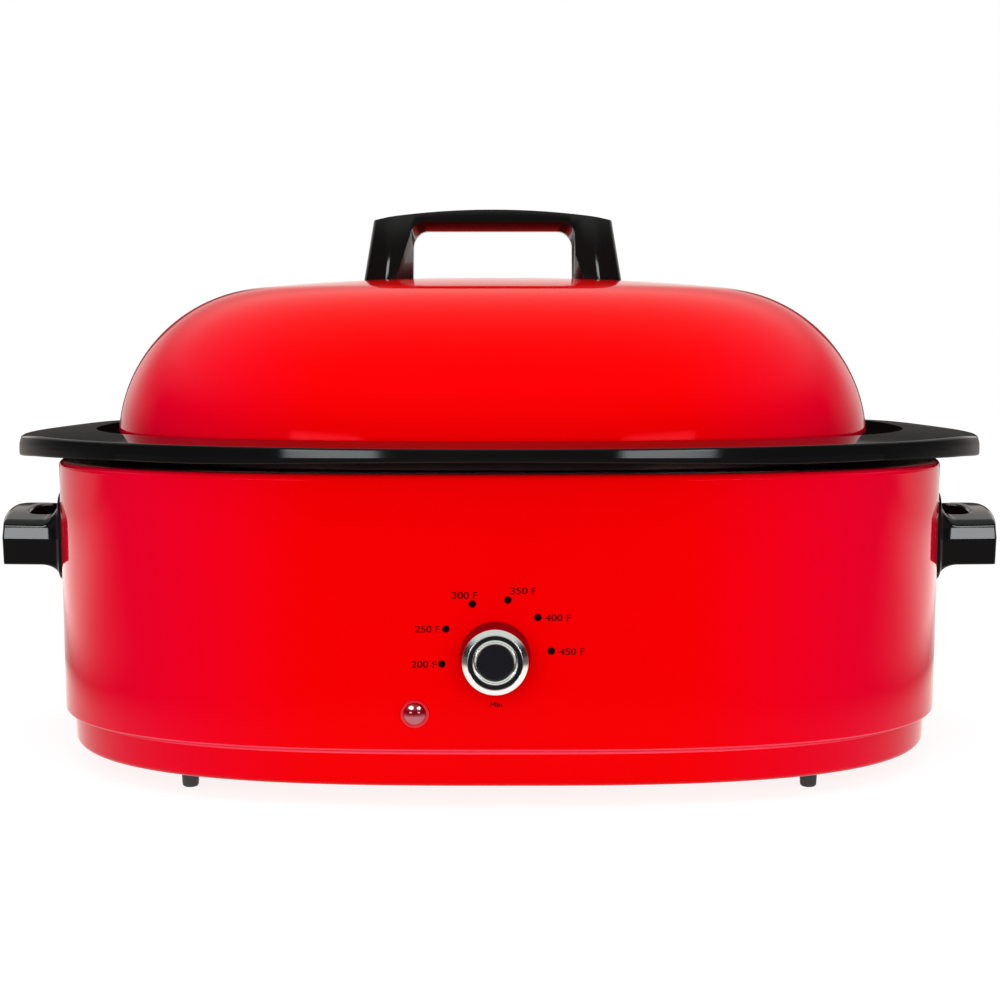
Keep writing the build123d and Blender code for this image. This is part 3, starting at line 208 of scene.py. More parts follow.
def add_mesh(whole, mesh):
    """Adds one bmesh to another; the added one goes."""
    holder = bpy.data.meshes.new("added")
    mesh.to_mesh(holder)
    mesh.free()
    whole.from_mesh(holder)
    bpy.data.meshes.remove(holder)


def tidied(mesh):
    bmesh.ops.remove_doubles(mesh, verts=mesh.verts, dist=0.002)
    bmesh.ops.recalc_face_normals(mesh, faces=mesh.faces)
    return mesh


def stand_in_object(mesh, name):
    data = bpy.data.meshes.new(name)
    tidied(mesh).to_mesh(data)
    mesh.free()
    thing = bpy.data.objects.new(name, data)
    bpy.context.scene.collection.objects.link(thing)
    return thing


def read_back(thing):
    """The object's mesh with its modifiers applied, as a new bmesh; the object goes."""
    mesh = bmesh.new()
    shaped = thing.evaluated_get(bpy.context.evaluated_depsgraph_get())
    mesh.from_mesh(shaped.to_mesh())
    shaped.to_mesh_clear()
    data = thing.data
    bpy.data.objects.remove(thing)
    bpy.data.meshes.remove(data)
    return mesh


def cut_away(mesh, *cutters):
    """The mesh less these closed cutters."""
    target = stand_in_object(mesh, "cut_target")
    tools = [stand_in_object(cutter, "cut_tool") for cutter in cutters]
    for tool in tools:
        step = target.modifiers.new("cut", "BOOLEAN")
        step.operation, step.solver, step.object = "DIFFERENCE", "EXACT", tool
    result = read_back(target)
    for tool in tools:
        data = tool.data
        bpy.data.objects.remove(tool)
        bpy.data.meshes.remove(data)
    return result


def new_piece(name, mesh, material, body, stands_for=(), sharp=SHARP_ANGLE):
    """Turns a mesh in millimetres into a finished piece that moves with its body."""
    tidied(mesh)
    bmesh.ops.scale(mesh, vec=(MM, MM, MM), verts=mesh.verts)
    data = bpy.data.meshes.new(name)
    mesh.to_mesh(data)
    mesh.free()
    for face in data.polygons:
        face.use_smooth = True
    data.set_sharp_from_angle(angle=sharp)
    piece = bpy.data.objects.new(name, data)
    bpy.context.scene.collection.objects.link(piece)
    data.materials.append(material)
    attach(piece, body)
    if stands_for:
        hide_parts(*stands_for)
    return piece


# ---- finishes --------------------------------------------------------------------------
def texture_group():
    """Fine unevenness shared by the finishes: a slow drift, a small grain, and a roughness
    that goes from smoothest to roughest with the drift."""
    group = bpy.data.node_groups.new("fine_unevenness", "ShaderNodeTree")
    for name in ("Drift Scale", "Grain Scale", "Smoothest", "Roughest"):
        group.interface.new_socket(name, in_out="INPUT", socket_type="NodeSocketFloat")
    for name in ("Drift", "Grain", "Roughness"):
        group.interface.new_socket(name, in_out="OUTPUT", socket_type="NodeSocketFloat")
    nodes, links = group.nodes, group.links
    inputs, outputs = nodes.new("NodeGroupInput"), nodes.new("NodeGroupOutput")
    place = nodes.new("ShaderNodeTexCoord")
    for wanted, scale_name, detail in (("Drift", "Drift Scale", 3.0), ("Grain", "Grain Scale", 2.0)):
        noise = nodes.new("ShaderNodeTexNoise")
        noise.inputs["Detail"].default_value = detail
        links.new(place.outputs["Object"], noise.inputs["Vector"])
        links.new(inputs.outputs[scale_name], noise.inputs["Scale"])
        links.new(noise.outputs["Fac"], outputs.inputs[wanted])
        if wanted == "Drift":
            spread = nodes.new("ShaderNodeMapRange")
            spread.inputs["From Min"].default_value = 0.35
            spread.inputs["From Max"].default_value = 0.65
            links.new(noise.outputs["Fac"], spread.inputs["Value"])
            links.new(inputs.outputs["Smoothest"], spread.inputs["To Min"])
            links.new(inputs.outputs["Roughest"], spread.inputs["To Max"])
            links.new(spread.outputs["Result"], outputs.inputs["Roughness"])
    return group


UNEVENNESS = texture_group()


def finish(name, colour, other, rough, drift=20.0, grain=900.0, bump=0.05, deep=0.0002, **shader):
    """A finish: two close tones mixed by the drift, uneven gloss, and a fine grain."""
    material = bpy.data.materials.new(name)
    material.use_nodes = True
    nodes, links = material.node_tree.nodes, material.node_tree.links
    surface = nodes["Principled BSDF"]
    for socket, value in shader.items():
        surface.inputs[socket.replace("_", " ")].default_value = value
    uneven = nodes.new("ShaderNodeGroup")
    uneven.node_tree = UNEVENNESS
    for socket, value in (
        ("Drift Scale", drift),
        ("Grain Scale", grain),
        ("Smoothest", rough[0]),
        ("Roughest", rough[1]),
    ):
        uneven.inputs[socket].default_value = value
    tones = nodes.new("ShaderNodeMix")
    tones.data_type = "RGBA"
    tones.inputs[6].default_value = (*colour, 1)
    tones.inputs[7].default_value = (*other, 1)
    links.new(uneven.outputs["Drift"], tones.inputs[0])
    links.new(tones.outputs[2], surface.inputs["Base Color"])
    links.new(uneven.outputs["Roughness"], surface.inputs["Roughness"])
    if bump:
        relief = nodes.new("ShaderNodeBump")
        relief.inputs["Strength"].default_value = bump
        relief.inputs["Distance"].default_value = deep
        links.new(uneven.outputs["Grain"], relief.inputs["Height"])
        links.new(relief.outputs["Normal"], surface.inputs["Normal"])
    return material


def painted_light_by_place(material, axis, start, end, colour):
    """Paints a second colour into the finish between two distances along an axis; both uses are painted
    light: shade on the red body, a reflection in the lens.
    """
    nodes, links = material.node_tree.nodes, material.node_tree.links
    surface = nodes["Principled BSDF"]
    place, axes = nodes.new("ShaderNodeTexCoord"), nodes.new("ShaderNodeSeparateXYZ")
    links.new(place.outputs["Object"], axes.inputs[0])
    size = nodes.new("ShaderNodeMath")
    size.operation = "ABSOLUTE"
    links.new(axes.outputs[axis], size.inputs[0])
    share = nodes.new("ShaderNodeMapRange")
    share.interpolation_type = "SMOOTHSTEP"
    share.inputs["From Min"].default_value = start
    share.inputs["From Max"].default_value = end
    links.new(size.outputs[0], share.inputs["Value"])
    tones = nodes.new("ShaderNodeMix")
    tones.data_type = "RGBA"
    links.new(share.outputs["Result"], tones.inputs[0])
    links.new(surface.inputs["Base Color"].links[0].from_socket, tones.inputs[6])
    tones.inputs[7].default_value = (*colour, 1)
    links.new(tones.outputs[2], surface.inputs["Base Color"])
    return material


RED_PAINT = finish(
    "red_paint",
    (0.93, 0.0, 0.001),
    (0.89, 0.0, 0.0),
    (0.05, 0.08),
    drift=14,
    bump=0.015,
    Specular_IOR_Level=0.2,
    Specular_Tint=(1.0, 0.06, 0.1, 1.0),
)
# Painted shade: towards the body's left and right ends the red turns darker and more crimson, standing in
# for the light falling off round the sides.
painted_light_by_place(RED_PAINT, "X", 0.08, 0.22, (0.84, 0.0, 0.026))
# Painted highlight: a pale pink finish for thin bands on the shell's rounded foot and the band's rounded
# top, standing in for the light these edges catch.
PAINTED_EDGE_HIGHLIGHT = finish(
    "painted_edge_highlight",
    (1.0, 0.06, 0.11),
    (1.0, 0.05, 0.1),
    (0.2, 0.3),
    bump=0.0,
    Specular_IOR_Level=0.2,
)
BLACK_ENAMEL = finish(
    "black_enamel",
    (0.004, 0.004, 0.0045),
    (0.006, 0.006, 0.0065),
    (0.05, 0.08),
    bump=0.02,
    Specular_IOR_Level=0.2,
)
# Painted shade: the pan's lid seat gets a black that takes no gloss, which keeps the recess under the lid
# dark.
SEAT_PAINTED_SHADE = finish(
    "seat_painted_shade",
    (0.003, 0.003, 0.003),
    (0.005, 0.004, 0.004),
    (0.6, 0.7),
    bump=0.02,
    Specular_IOR_Level=0.0,
)
# Painted shade: the lip at the flange's tips gets a black with almost no gloss, which keeps the tips
# dark.
LIP_PAINTED_SHADE = finish(
    "lip_painted_shade",
    (0.004, 0.004, 0.0042),
    (0.006, 0.006, 0.0062),
    (0.28, 0.34),
    bump=0.02,
    Specular_IOR_Level=0.03,
)
GREY_STEEL = finish("grey_steel", (0.42, 0.42, 0.43), (0.36, 0.36, 0.37), (0.34, 0.48), Metallic=1.0)
# Painted shade: a near-black, faintly red steel for the liner's top outside, standing in for the shade
# under the pan's flange.
STEEL_PAINTED_SHADE = finish("steel_painted_shade", (0.06, 0.035, 0.035), (0.05, 0.028, 0.028), (0.45, 0.55), Metallic=1.0)
STEEL = finish("steel", (0.62, 0.62, 0.63), (0.55, 0.55, 0.56), (0.2, 0.32), Metallic=1.0)
PLATED_WIRE = finish("plated_wire", (0.75, 0.75, 0.76), (0.68, 0.68, 0.7), (0.12, 0.2), Metallic=1.0)
BRIGHT_TRIM = finish(
    "bright_trim",
    (0.86, 0.87, 0.86),
    (0.82, 0.83, 0.82),
    (0.16, 0.2),
    bump=0.0,
    Metallic=1.0,
)
# Painted reflection: a plain dark red on the side of the knob's bright skirt, standing in for the red
# body mirrored in the metal.
SKIRT_PAINTED_REFLECTION = finish(
    "skirt_painted_reflection",
    (0.32, 0.0, 0.006),
    (0.28, 0.0, 0.005),
    (0.5, 0.6),
    bump=0.0,
    Specular_IOR_Level=0.05,
)
BRASS = finish("brass", (0.75, 0.55, 0.25), (0.68, 0.48, 0.2), (0.2, 0.35), Metallic=1.0)
HEATER_FOIL = finish(
    "heater_foil",
    (0.55, 0.56, 0.58),
    (0.7, 0.7, 0.72),
    (0.25, 0.45),
    grain=300,
    bump=0.4,
    Metallic=1.0,
)
WOOL = finish(
    "wool",
    (0.72, 0.7, 0.62),
    (0.6, 0.57, 0.48),
    (0.9, 1.0),
    drift=120,
    grain=700,
    bump=0.9,
    deep=0.002,
)
RUBBER = finish("rubber", (0.02, 0.02, 0.022), (0.03, 0.03, 0.032), (0.55, 0.7), bump=0.2)
BLACK_PLASTIC = finish(
    "black_plastic",
    (0.005, 0.005, 0.005),
    (0.007, 0.007, 0.007),
    (0.06, 0.1),
    bump=0.03,
    Specular_IOR_Level=0.36,
)
GLOSS_BLACK = finish("gloss_black", (0.006, 0.006, 0.009), (0.008, 0.008, 0.011), (0.1, 0.16), bump=0.02)
CERAMIC = finish("ceramic", (0.85, 0.83, 0.78), (0.78, 0.76, 0.7), (0.35, 0.5), bump=0.1)
WIRE_COVER = finish("wire_cover", (0.6, 0.58, 0.52), (0.5, 0.48, 0.42), (0.6, 0.75), grain=2500, bump=0.5)
DIAL_INK = finish(
    "dial_ink",
    (0.05, 0.0, 0.002),
    (0.06, 0.0, 0.003),
    (0.4, 0.5),
    bump=0.0,
    Specular_IOR_Level=0.05,
)
DOT_INK = finish(
    "dot_ink",
    (0.005, 0.0, 0.0),
    (0.007, 0.0, 0.001),
    (0.4, 0.5),
    bump=0.0,
    Specular_IOR_Level=0.05,
)
RED_LENS = finish(
    "red_lens",
    (0.26, 0.0, 0.01),
    (0.22, 0.0, 0.008),
    (0.02, 0.04),
    bump=0.0,
    Coat_Weight=0.5,
)
# Painted reflection: the lens's lower half turns a paler pink, standing in for the bright floor mirrored
# in it.
painted_light_by_place(RED_LENS, "Z", 0.0472, 0.0460, (0.5, 0.1, 0.13))
LENS_GLINT = finish("lens_glint", (1.0, 1.0, 1.0), (1.0, 1.0, 1.0), (0.2, 0.3), bump=0.0)
LENS_COLLAR = finish("lens_collar", (0.8, 0.0, 0.01), (0.76, 0.0, 0.008), (0.04, 0.06), bump=0.0)
LAMP_GLASS = finish(
    "lamp_glass",
    (0.95, 0.9, 0.85),
    (0.9, 0.85, 0.8),
    (0.02, 0.05),
    bump=0.0,
    Transmission_Weight=0.9,
)


def give_kept_nodes(material, *kept):
    """The frame's own pieces whose shape is right keep it and get a finish."""
    for node in kept:
        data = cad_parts[node].data
        data.materials.clear()
        data.materials.append(material)


give_kept_nodes(STEEL, "well_studs", "stud_nuts", "heater_clamp_screw", "thermostat_bracket")
give_kept_nodes(STEEL, "bush_nut", "thermostat_shaft", "lens_clip", "earth_screw")
give_kept_nodes(STEEL, "handle_plates", "handle_screws", "lid_handle_washers", "lid_handle_screws")
give_kept_nodes(BRASS, "thermostat_bush", "sensing_blade")
give_kept_nodes(HEATER_FOIL, "heater_band")
give_kept_nodes(WOOL, "side_insulation", "floor_insulation")
give_kept_nodes(CERAMIC, "thermostat_body", "terminal_block")
give_kept_nodes(LAMP_GLASS, "neon_lamp")
give_kept_nodes(WIRE_COVER, "supply_leads", "heater_lead")
give_kept_nodes(PLATED_WIRE, "rack_frame", "rack_wires")


# ---- body shell, base band, feet -------------------------------------------------------
CORNER_ROUND = 3.0
# Heights over the body's bottom of the painted highlight lines on the seam's rounded edges.
SEAM_HIGHLIGHT_LOW, SEAM_HIGHLIGHT_HIGH = 0.3, 1.4
BAND_HIGHLIGHT_LOW, BAND_HIGHLIGHT_HIGH = -1.35, -0.2
VENT_LENGTH, VENT_WIDTH, VENT_PITCH, VENT_COUNT, VENT_X = 46.0, 4.5, 14.0, 6, 62.0
FOOT_X, FOOT_Y = 160.0, 146.0
WELL_FLANGE_REACH, WELL_BEAD_REACH, WELL_FLOOR_REACH = 23.0, 5.0, -60.0


def body_oval(z):
    """The body wall's oval at a height, with its slight draft."""
    span = BODY_TOP - BODY_BOTTOM - 2 * CORNER_ROUND
    return grown(BODY, -DRAFT * min(1.0, max(0.0, (BODY_TOP - CORNER_ROUND - z) / span)))


def wall_y(size, x):
    half_width, half_depth, squareness = size
    return half_depth * (1 - abs(x / half_width) ** squareness) ** (1 / squareness)


def wall_x(size, y):
    half_width, half_depth, squareness = size
    return half_width * (1 - abs(y / half_depth) ** squareness) ** (1 / squareness)


def refinish(piece, material, wanted):
    """Gives another finish to the faces whose middle, in millimetres, is wanted."""
    piece.data.materials.append(material)
    index = len(piece.data.materials) - 1
    for face in piece.data.polygons:
        if wanted(*(face.center / MM)):
            face.material_index = index


def make_red_shell():
    path = rounded(
        [
            (-10.0, BODY_BOTTOM, 0.0),
            (-DRAFT, BODY_BOTTOM, 1.2),
            (0.0, BODY_TOP, CORNER_ROUND),
            (-14.0, BODY_TOP, 0.0),
            (-14.0, BODY_TOP - SHEET, 0.0),
            (-SHEET, BODY_TOP - SHEET, CORNER_ROUND - SHEET),
            (-DRAFT - SHEET, BODY_BOTTOM + SHEET, 0.6),
            (-10.0, BODY_BOTTOM + SHEET, 0.0),
        ]
    )
    mesh = oval_skin([(grown(BODY, reach), z) for reach, z in path], joined=True)
    shell = new_piece("red_shell", mesh, RED_PAINT, "base", ["body_shell"])
    # Painted highlight: a pale pink line on the shell's rounded foot.
    refinish(shell, PAINTED_EDGE_HIGHLIGHT, lambda x, y, z: SEAM_HIGHLIGHT_LOW < z - BODY_BOTTOM < SEAM_HIGHLIGHT_HIGH)


def vent_cutter(x, y):
    """A round-ended slot's solid, tall enough to pass through the pan's floor."""
    slot = bmesh.new()
    bmesh.ops.create_circle(slot, cap_ends=True, segments=24, radius=VENT_WIDTH / 2)
    straight = (VENT_LENGTH - VENT_WIDTH) / 2
    for vert in slot.verts:
        vert.co.x += straight if vert.co.x > 0.001 else -straight
    raise_faces(slot, (0, 0, 3))
    bmesh.ops.translate(slot, verts=slot.verts, vec=(x, y, BAND_BOTTOM - 1.0))
    return slot


def make_base_band():
    path = rounded(
        [
            (-20.0, BAND_BOTTOM, 0.0),
            (-0.7, BAND_BOTTOM, CORNER_ROUND),
            (0.0, BODY_BOTTOM, 1.3),
            (-10.0, BODY_BOTTOM, 0.0),
            (-10.0, BODY_BOTTOM - SHEET, 0.0),
            (-SHEET, BODY_BOTTOM - SHEET, 0.4),
            (-0.7 - SHEET, BAND_BOTTOM + SHEET, CORNER_ROUND - SHEET),
            (-20.0, BAND_BOTTOM + SHEET, 0.0),
        ],
        closed=False,
    )
    mesh = oval_skin([(grown(BAND, reach), z) for reach, z in path])
    rows = [(row - (VENT_COUNT - 1) / 2) * VENT_PITCH for row in range(VENT_COUNT)]
    mesh = cut_away(mesh, *[vent_cutter(side * VENT_X, y) for side in (-1, 1) for y in rows])
    band = new_piece("base_band", mesh, RED_PAINT, "base", ["base_pan"])
    # Painted highlight: a pale pink line on the band's rounded top.
    refinish(band, PAINTED_EDGE_HIGHLIGHT, lambda x, y, z: BAND_HIGHLIGHT_LOW < z - BODY_BOTTOM < BAND_HIGHLIGHT_HIGH)


def make_foot_pads():
    profile = rounded(
        [
            (0.0, 0.0, 0.0),
            (4.1, 0.0, 1.6),
            (4.7, BAND_BOTTOM, 0.4),
            (2.5, BAND_BOTTOM, 0.0),
            (2.5, BAND_BOTTOM + SHEET, 0.0),
            (3.6, BAND_BOTTOM + SHEET, 0.3),
            (2.5, 14.1, 0.5),
            (0.0, 14.1, 0.0),
        ],
        closed=False,
        hold=0.2,
    )
    whole = bmesh.new()
    for x in (-FOOT_X, FOOT_X):
        for y in (-FOOT_Y, FOOT_Y):
            verts = [whole.verts.new((x + radius, y, z)) for radius, z in profile]
            spun(whole, verts, (x, y, 0), (0, 0, 1), 48)
    new_piece("foot_pads", whole, RUBBER, "base", ["rubber_feet"])


def make_well_liner():
    path = rounded(
        [
            (WELL_FLOOR_REACH, WELL_BOTTOM, 0.0),
            (0.0, WELL_BOTTOM, 7.0),
            (0.0, BODY_TOP - 0.05, 0.0),
            (WELL_FLANGE_REACH, BODY_TOP - 0.05, 0.0),
            (WELL_FLANGE_REACH, BODY_TOP + SHEET, 0.3),
            (WELL_BEAD_REACH, BODY_TOP + SHEET, 1.0),
            (WELL_BEAD_REACH, BEAD_TOP, 2.0),
            (-SHEET, BEAD_TOP, 2.0),
            (-SHEET, WELL_BOTTOM + SHEET, 6.4),
            (WELL_FLOOR_REACH, WELL_BOTTOM + SHEET, 0.0),
        ],
        closed=False,
    )
    bead = grown(WELL, WELL_BEAD_REACH)
    stations = [(0.0, WELL), (WELL_BEAD_REACH, bead), (WELL_FLANGE_REACH, grown(BODY, -8.0))]
    mesh = oval_skin([(blended(stations, reach), z) for reach, z in path])
    liner = new_piece("well_liner", mesh, GREY_STEEL, "base", ["heat_well"])

    def outside_the_top(x, y, z):
        return z > BODY_TOP - 5.0 and hypot(x, y) > oval_reach(WELL, atan2(y, x)) + 0.3

    # Painted shade: the liner's top outside the well is darkened.
    refinish(liner, STEEL_PAINTED_SHADE, outside_the_top)


# ---- cookwell --------------------------------------------------------------------------
POT_STATIONS = [(0.0, POT), (LEDGE_REACH, LEDGE), (RIM_REACH, RIM), (FLANGE_REACH, FLANGE)]
CREASE = 178.6
LIP_BOTTOM = 171.3


def smooth_share(value, start, end):
    share = min(1.0, max(0.0, (value - start) / (end - start)))
    return share * share * (3 - 2 * share)


def flange_droop(reach, x, z):
    """How far the pressed flange sits off its even level: its tips hang a little lower,
    and the lip's edge arches up at the front and back."""
    out = min(1.0, max(0.0, (reach - RIM_REACH) / (FLANGE_REACH - RIM_REACH)))
    tips = -1.9 * smooth_share(abs(x), 246.0, 278.0) * out
    if reach < 60 or z > CREASE - 1.5:
        return tips
    near_edge = min(1.0, (CREASE - z) / (CREASE - LIP_BOTTOM))
    arch = 1.1 - 2.6 * min(1.0, abs(x) / 150.0) ** 1.5 - 2.3 * smooth_share(abs(x), 190.0, 276.0)
    return tips + arch * near_edge


def pan_path(crease_round, crease_reach):
    """The pan's section as (reach, height) points, with its flange's crease turned so."""
    return rounded(
        [
            (-120.0, POT_FLOOR, 0.0),
            (-3.5, POT_FLOOR, 11.2),
            (0.0, LEDGE_TOP, 2.6),
            (LEDGE_REACH, LEDGE_TOP, 2.0),
            (RIM_REACH, RIM_TOP, 1.2),
            (crease_reach, CREASE, crease_round),
            (FLANGE_REACH, LIP_BOTTOM + 2.6, 1.0),
            (FLANGE_REACH, LIP_BOTTOM, 0.8),
            (FLANGE_REACH - 2.2, LIP_BOTTOM, 0.6),
            (FLANGE_REACH - 2.2, CREASE - 2.0, 0.9),
            (RIM_REACH + 0.4, RIM_TOP - 1.0, 0.8),
            (LEDGE_REACH + 0.7, LEDGE_TOP - POT_SHEET, 1.0),
            (0.8, LEDGE_TOP - POT_SHEET, 1.0),
            (-2.7, POT_FLOOR - POT_SHEET, 12.0),
            (-120.0, POT_FLOOR - POT_SHEET, 0.0),
        ],
        closed=False,
    )


def make_roasting_pan():
    """Swept section whose crease is crisp along the front and well rounded at the tips."""
    crisp, soft = pan_path(1.1, 70.9), pan_path(4.2, 71.3)
    outlines = []
    for (reach, z), (soft_reach, soft_z) in zip(crisp, soft):
        outline = []
        for step in range(OVAL_STEPS):
            angle = 2 * pi * step / OVAL_STEPS
            x = oval_reach(blended(POT_STATIONS, reach), angle) * cos(angle)
            share = smooth_share(abs(x), 150.0, 272.0)
            here = reach + (soft_reach - reach) * share
            level = z + (soft_z - z) * share
            point = oval_point(blended(POT_STATIONS, here), angle, level)
            point.z += flange_droop(here, point.x, level)
            outline.append(point)
        outlines.append(outline)
    mesh = skin(outlines)
    pan = new_piece("roasting_pan", mesh, BLACK_ENAMEL, "cookwell", ["cookwell"])

    def on_lid_seat(x, y, z):
        angle = atan2(y, x)
        start, end = oval_reach(LEDGE, angle) - 14, oval_reach(RIM, angle) + 0.2
        return z > LEDGE_TOP - 0.4 and start < hypot(x, y) < end

    def on_lip(x, y, z):
        beyond_rim = hypot(x, y) > oval_reach(RIM, atan2(y, x))
        return abs(x) > 196 and beyond_rim and z < CREASE - 0.8 + flange_droop(70.0, x, CREASE)

    # Painted shade: the lid seat takes the glossless black that keeps it dark.
    refinish(pan, SEAT_PAINTED_SHADE, on_lid_seat)
    # Painted shade: the lip at the tips takes the nearly glossless black that keeps it dark.
    refinish(pan, LIP_PAINTED_SHADE, on_lip)


# ---- lid -------------------------------------------------------------------------------
def dome_sections(drop):
    """Ovals of the dome from its waist up: a shoulder arc, then a low crown. The inside is
    dropped by the sheet's thickness."""
    sections = []
    for step in range(SHOULDER_STEPS + 1):
        share = step / SHOULDER_STEPS
        angle = SIDE_DRAFT + (CROWN_ANGLE - SIDE_DRAFT) * share
        move_in = SHOULDER_RADIUS * (cos(SIDE_DRAFT) - cos(angle)) + drop * cos(angle)
        rise = (SHOULDER_RADIUS - drop) * (sin(angle) - sin(SIDE_DRAFT))
        squareness = LID[2] + (CROWN_SQUARENESS - LID[2]) * share
        sections.append(((LID[0] - move_in, LID[1] - move_in, squareness), LID_WAIST + rise))
    (width, depth, squareness), z = sections[-1]
    for step in range(1, CROWN_STEPS + 1):
        share = 1 - step / (CROWN_STEPS + 0.35)
        level = z + CROWN_RISE * (1 - share * share)
        sections.append(((width * share, depth * share, squareness), level))
    return sections


DOME = dome_sections(0.0)
CROWN_OVAL, CROWN_FOOT = DOME[SHOULDER_STEPS]
BEAD_INSET, BEAD_FOLD_TOP = 5.7, 184.1


def crown_level(x, y):
    """Height of the lid's crown over a point of the plan, counted from the lid's middle."""
    share = hypot(x, y) / oval_reach(CROWN_OVAL, atan2(y, x))
    return CROWN_FOOT + CROWN_RISE * (1 - share * share)


def make_dome_lid():
    edge = rounded(
        [
            (-BEAD_INSET, BEAD_FOLD_TOP, 0.0),
            (-BEAD_INSET, LID_BOTTOM, 1.6),
            (0.0, LID_BOTTOM, 3.6),
            (0.0, LID_WAIST + 0.2, 0.0),
        ],
        closed=False,
        hold=0.2,
    )
    inside = [section for section in dome_sections(LID_SHEET) if section[1] > BEAD_FOLD_TOP + 0.2]
    outside = [(grown(LID, reach), z) for reach, z in edge[:-1]] + DOME
    mesh = oval_skin(inside[::-1] + outside)
    bmesh.ops.translate(mesh, verts=mesh.verts, vec=(LID_X, 0, 0))
    new_piece("dome_lid", mesh, RED_PAINT, "lid", ["lid_shell"])


# ---- lid grip --------------------------------------------------------------------------
GRIP_LOW_X = [75.2, 69.0, 62.8, 56.5, 48.0, 40.0, 32.0, 24.0, 16.0, 8.0]
GRIP_HIGH_X = [69.3, 64.3, 59.3, 53.5, 45.5, 38.0, 30.5, 22.9, 15.3, 7.6]
GRIP_LOW_Y, GRIP_HIGH_Y, GRIP_NOSE = 20.0, 16.0, 0.4
GRIP_END_TOP, GRIP_MIDDLE_TOP, GRIP_SEAT = 299.7, 305.2, 0.15
RIDGE = 2
WINDOW_FOOT = 246.0


def grip_column(index, low):
    """x and half-depth of one column across the grip, at its foot or its top."""
    half = GRIP_LOW_X if low else GRIP_HIGH_X
    xs = [-x for x in half] + [0.0] + list(reversed(half))
    x = xs[index]
    depth = GRIP_LOW_Y if low else GRIP_HIGH_Y
    end, ridge = half[0], half[RIDGE]
    taper = min(1.0, max(0.0, (abs(x) - ridge) / (end - ridge)))
    return x, depth * (1 - (1 - GRIP_NOSE) * taper)


def grip_top(x):
    return GRIP_MIDDLE_TOP - (GRIP_MIDDLE_TOP - GRIP_END_TOP) * (x / GRIP_HIGH_X[0]) ** 2


def bevelled(mesh, edges, offset, segments):
    bmesh.ops.bevel(
        mesh,
        geom=edges,
        offset=offset,
        segments=segments,
        profile=0.5,
        affect="EDGES",
        material=-1,
        clamp_overlap=True,
    )


def make_grip_block():
    columns, rows = 2 * len(GRIP_LOW_X), 4
    mesh = bmesh.new()
    rims = []
    for level in (0, 1):
        made = bmesh.ops.create_grid(mesh, x_segments=columns, y_segments=rows, size=1)
        bmesh.ops.translate(mesh, verts=made["verts"], vec=(0, 0, level))
        rims += [edge for edge in {e for v in made["verts"] for e in v.link_edges} if edge.is_boundary]
    bmesh.ops.bridge_loops(mesh, edges=rims)
    for vert in mesh.verts:
        low = vert.co.z < 0.5
        column = round((vert.co.x + 1) / 2 * columns)
        x, half_depth = grip_column(column, low)
        y = vert.co.y * half_depth
        vert.co = (x, y, crown_level(x, y) + GRIP_SEAT if low else grip_top(x))
    bmesh.ops.recalc_face_normals(mesh, faces=mesh.faces)
    ridges, noses = [], []
    for edge in mesh.edges:
        foot, head = sorted((vert.co for vert in edge.verts), key=lambda place: place.z)
        if head.z - foot.z <= 20:
            continue
        if abs(abs(foot.x) - GRIP_LOW_X[RIDGE]) < 0.1:
            ridges.append(edge)
        elif abs(abs(foot.x) - GRIP_LOW_X[0]) < 0.1 and abs(abs(foot.y) - GRIP_LOW_Y * GRIP_NOSE) < 0.1:
            noses.append(edge)
    bevelled(mesh, ridges + noses, 3.4, 5)
    brow = []
    for edge in mesh.edges:
        slopes = [face.normal.z for face in edge.link_faces]
        if len(slopes) == 2 and max(slopes) > 0.7 and min(slopes) < 0.45:
            brow.append(edge)
    bevelled(mesh, brow, 2.6, 6)
    return mesh


def window_contour(foot_half, brow_half, top, radius, y):
    """Finger window's outline at one depth: sides that lean, round upper corners."""
    corners = [
        (foot_half, WINDOW_FOOT, 0.0),
        (brow_half, top, radius),
        (-brow_half, top, radius),
        (-foot_half, WINDOW_FOOT, 0.0),
    ]
    return [Vector((x, y, z)) for x, z in rounded(corners, steps=10)]


def make_grip_window():
    """Solid of the finger window: even across its throat, then opening to its mouths."""
    throat_y, mouth_y, past_y = 5.0, 17.0, 26.0
    throat = window_contour(46.6, 46.1, 293.4, 9.0, throat_y)
    mouth = window_contour(56.1, 45.9, 298.5, 8.0, mouth_y)
    outlines = []
    for y in (-past_y, -throat_y, throat_y, past_y):
        spread = (abs(y) - throat_y) / (mouth_y - throat_y)
        spots = [near.lerp(far, spread) for near, far in zip(throat, mouth)]
        outlines.append([Vector((spot.x, y, spot.z)) for spot in spots])
    return skin(outlines)


def make_lid_grip():
    mesh = cut_away(make_grip_block(), make_grip_window())
    holder = stand_in_object(mesh, "grip_edges")
    soften = holder.modifiers.new("soften", "BEVEL")
    soften.limit_method, soften.angle_limit = "ANGLE", radians(24)
    soften.width, soften.segments, soften.use_clamp_overlap = 0.7, 3, True
    mesh = read_back(holder)
    bmesh.ops.translate(mesh, verts=mesh.verts, vec=(LID_X, 0, 0))
    new_piece("lid_grip", mesh, BLACK_PLASTIC, "lid", ["lid_handle"])


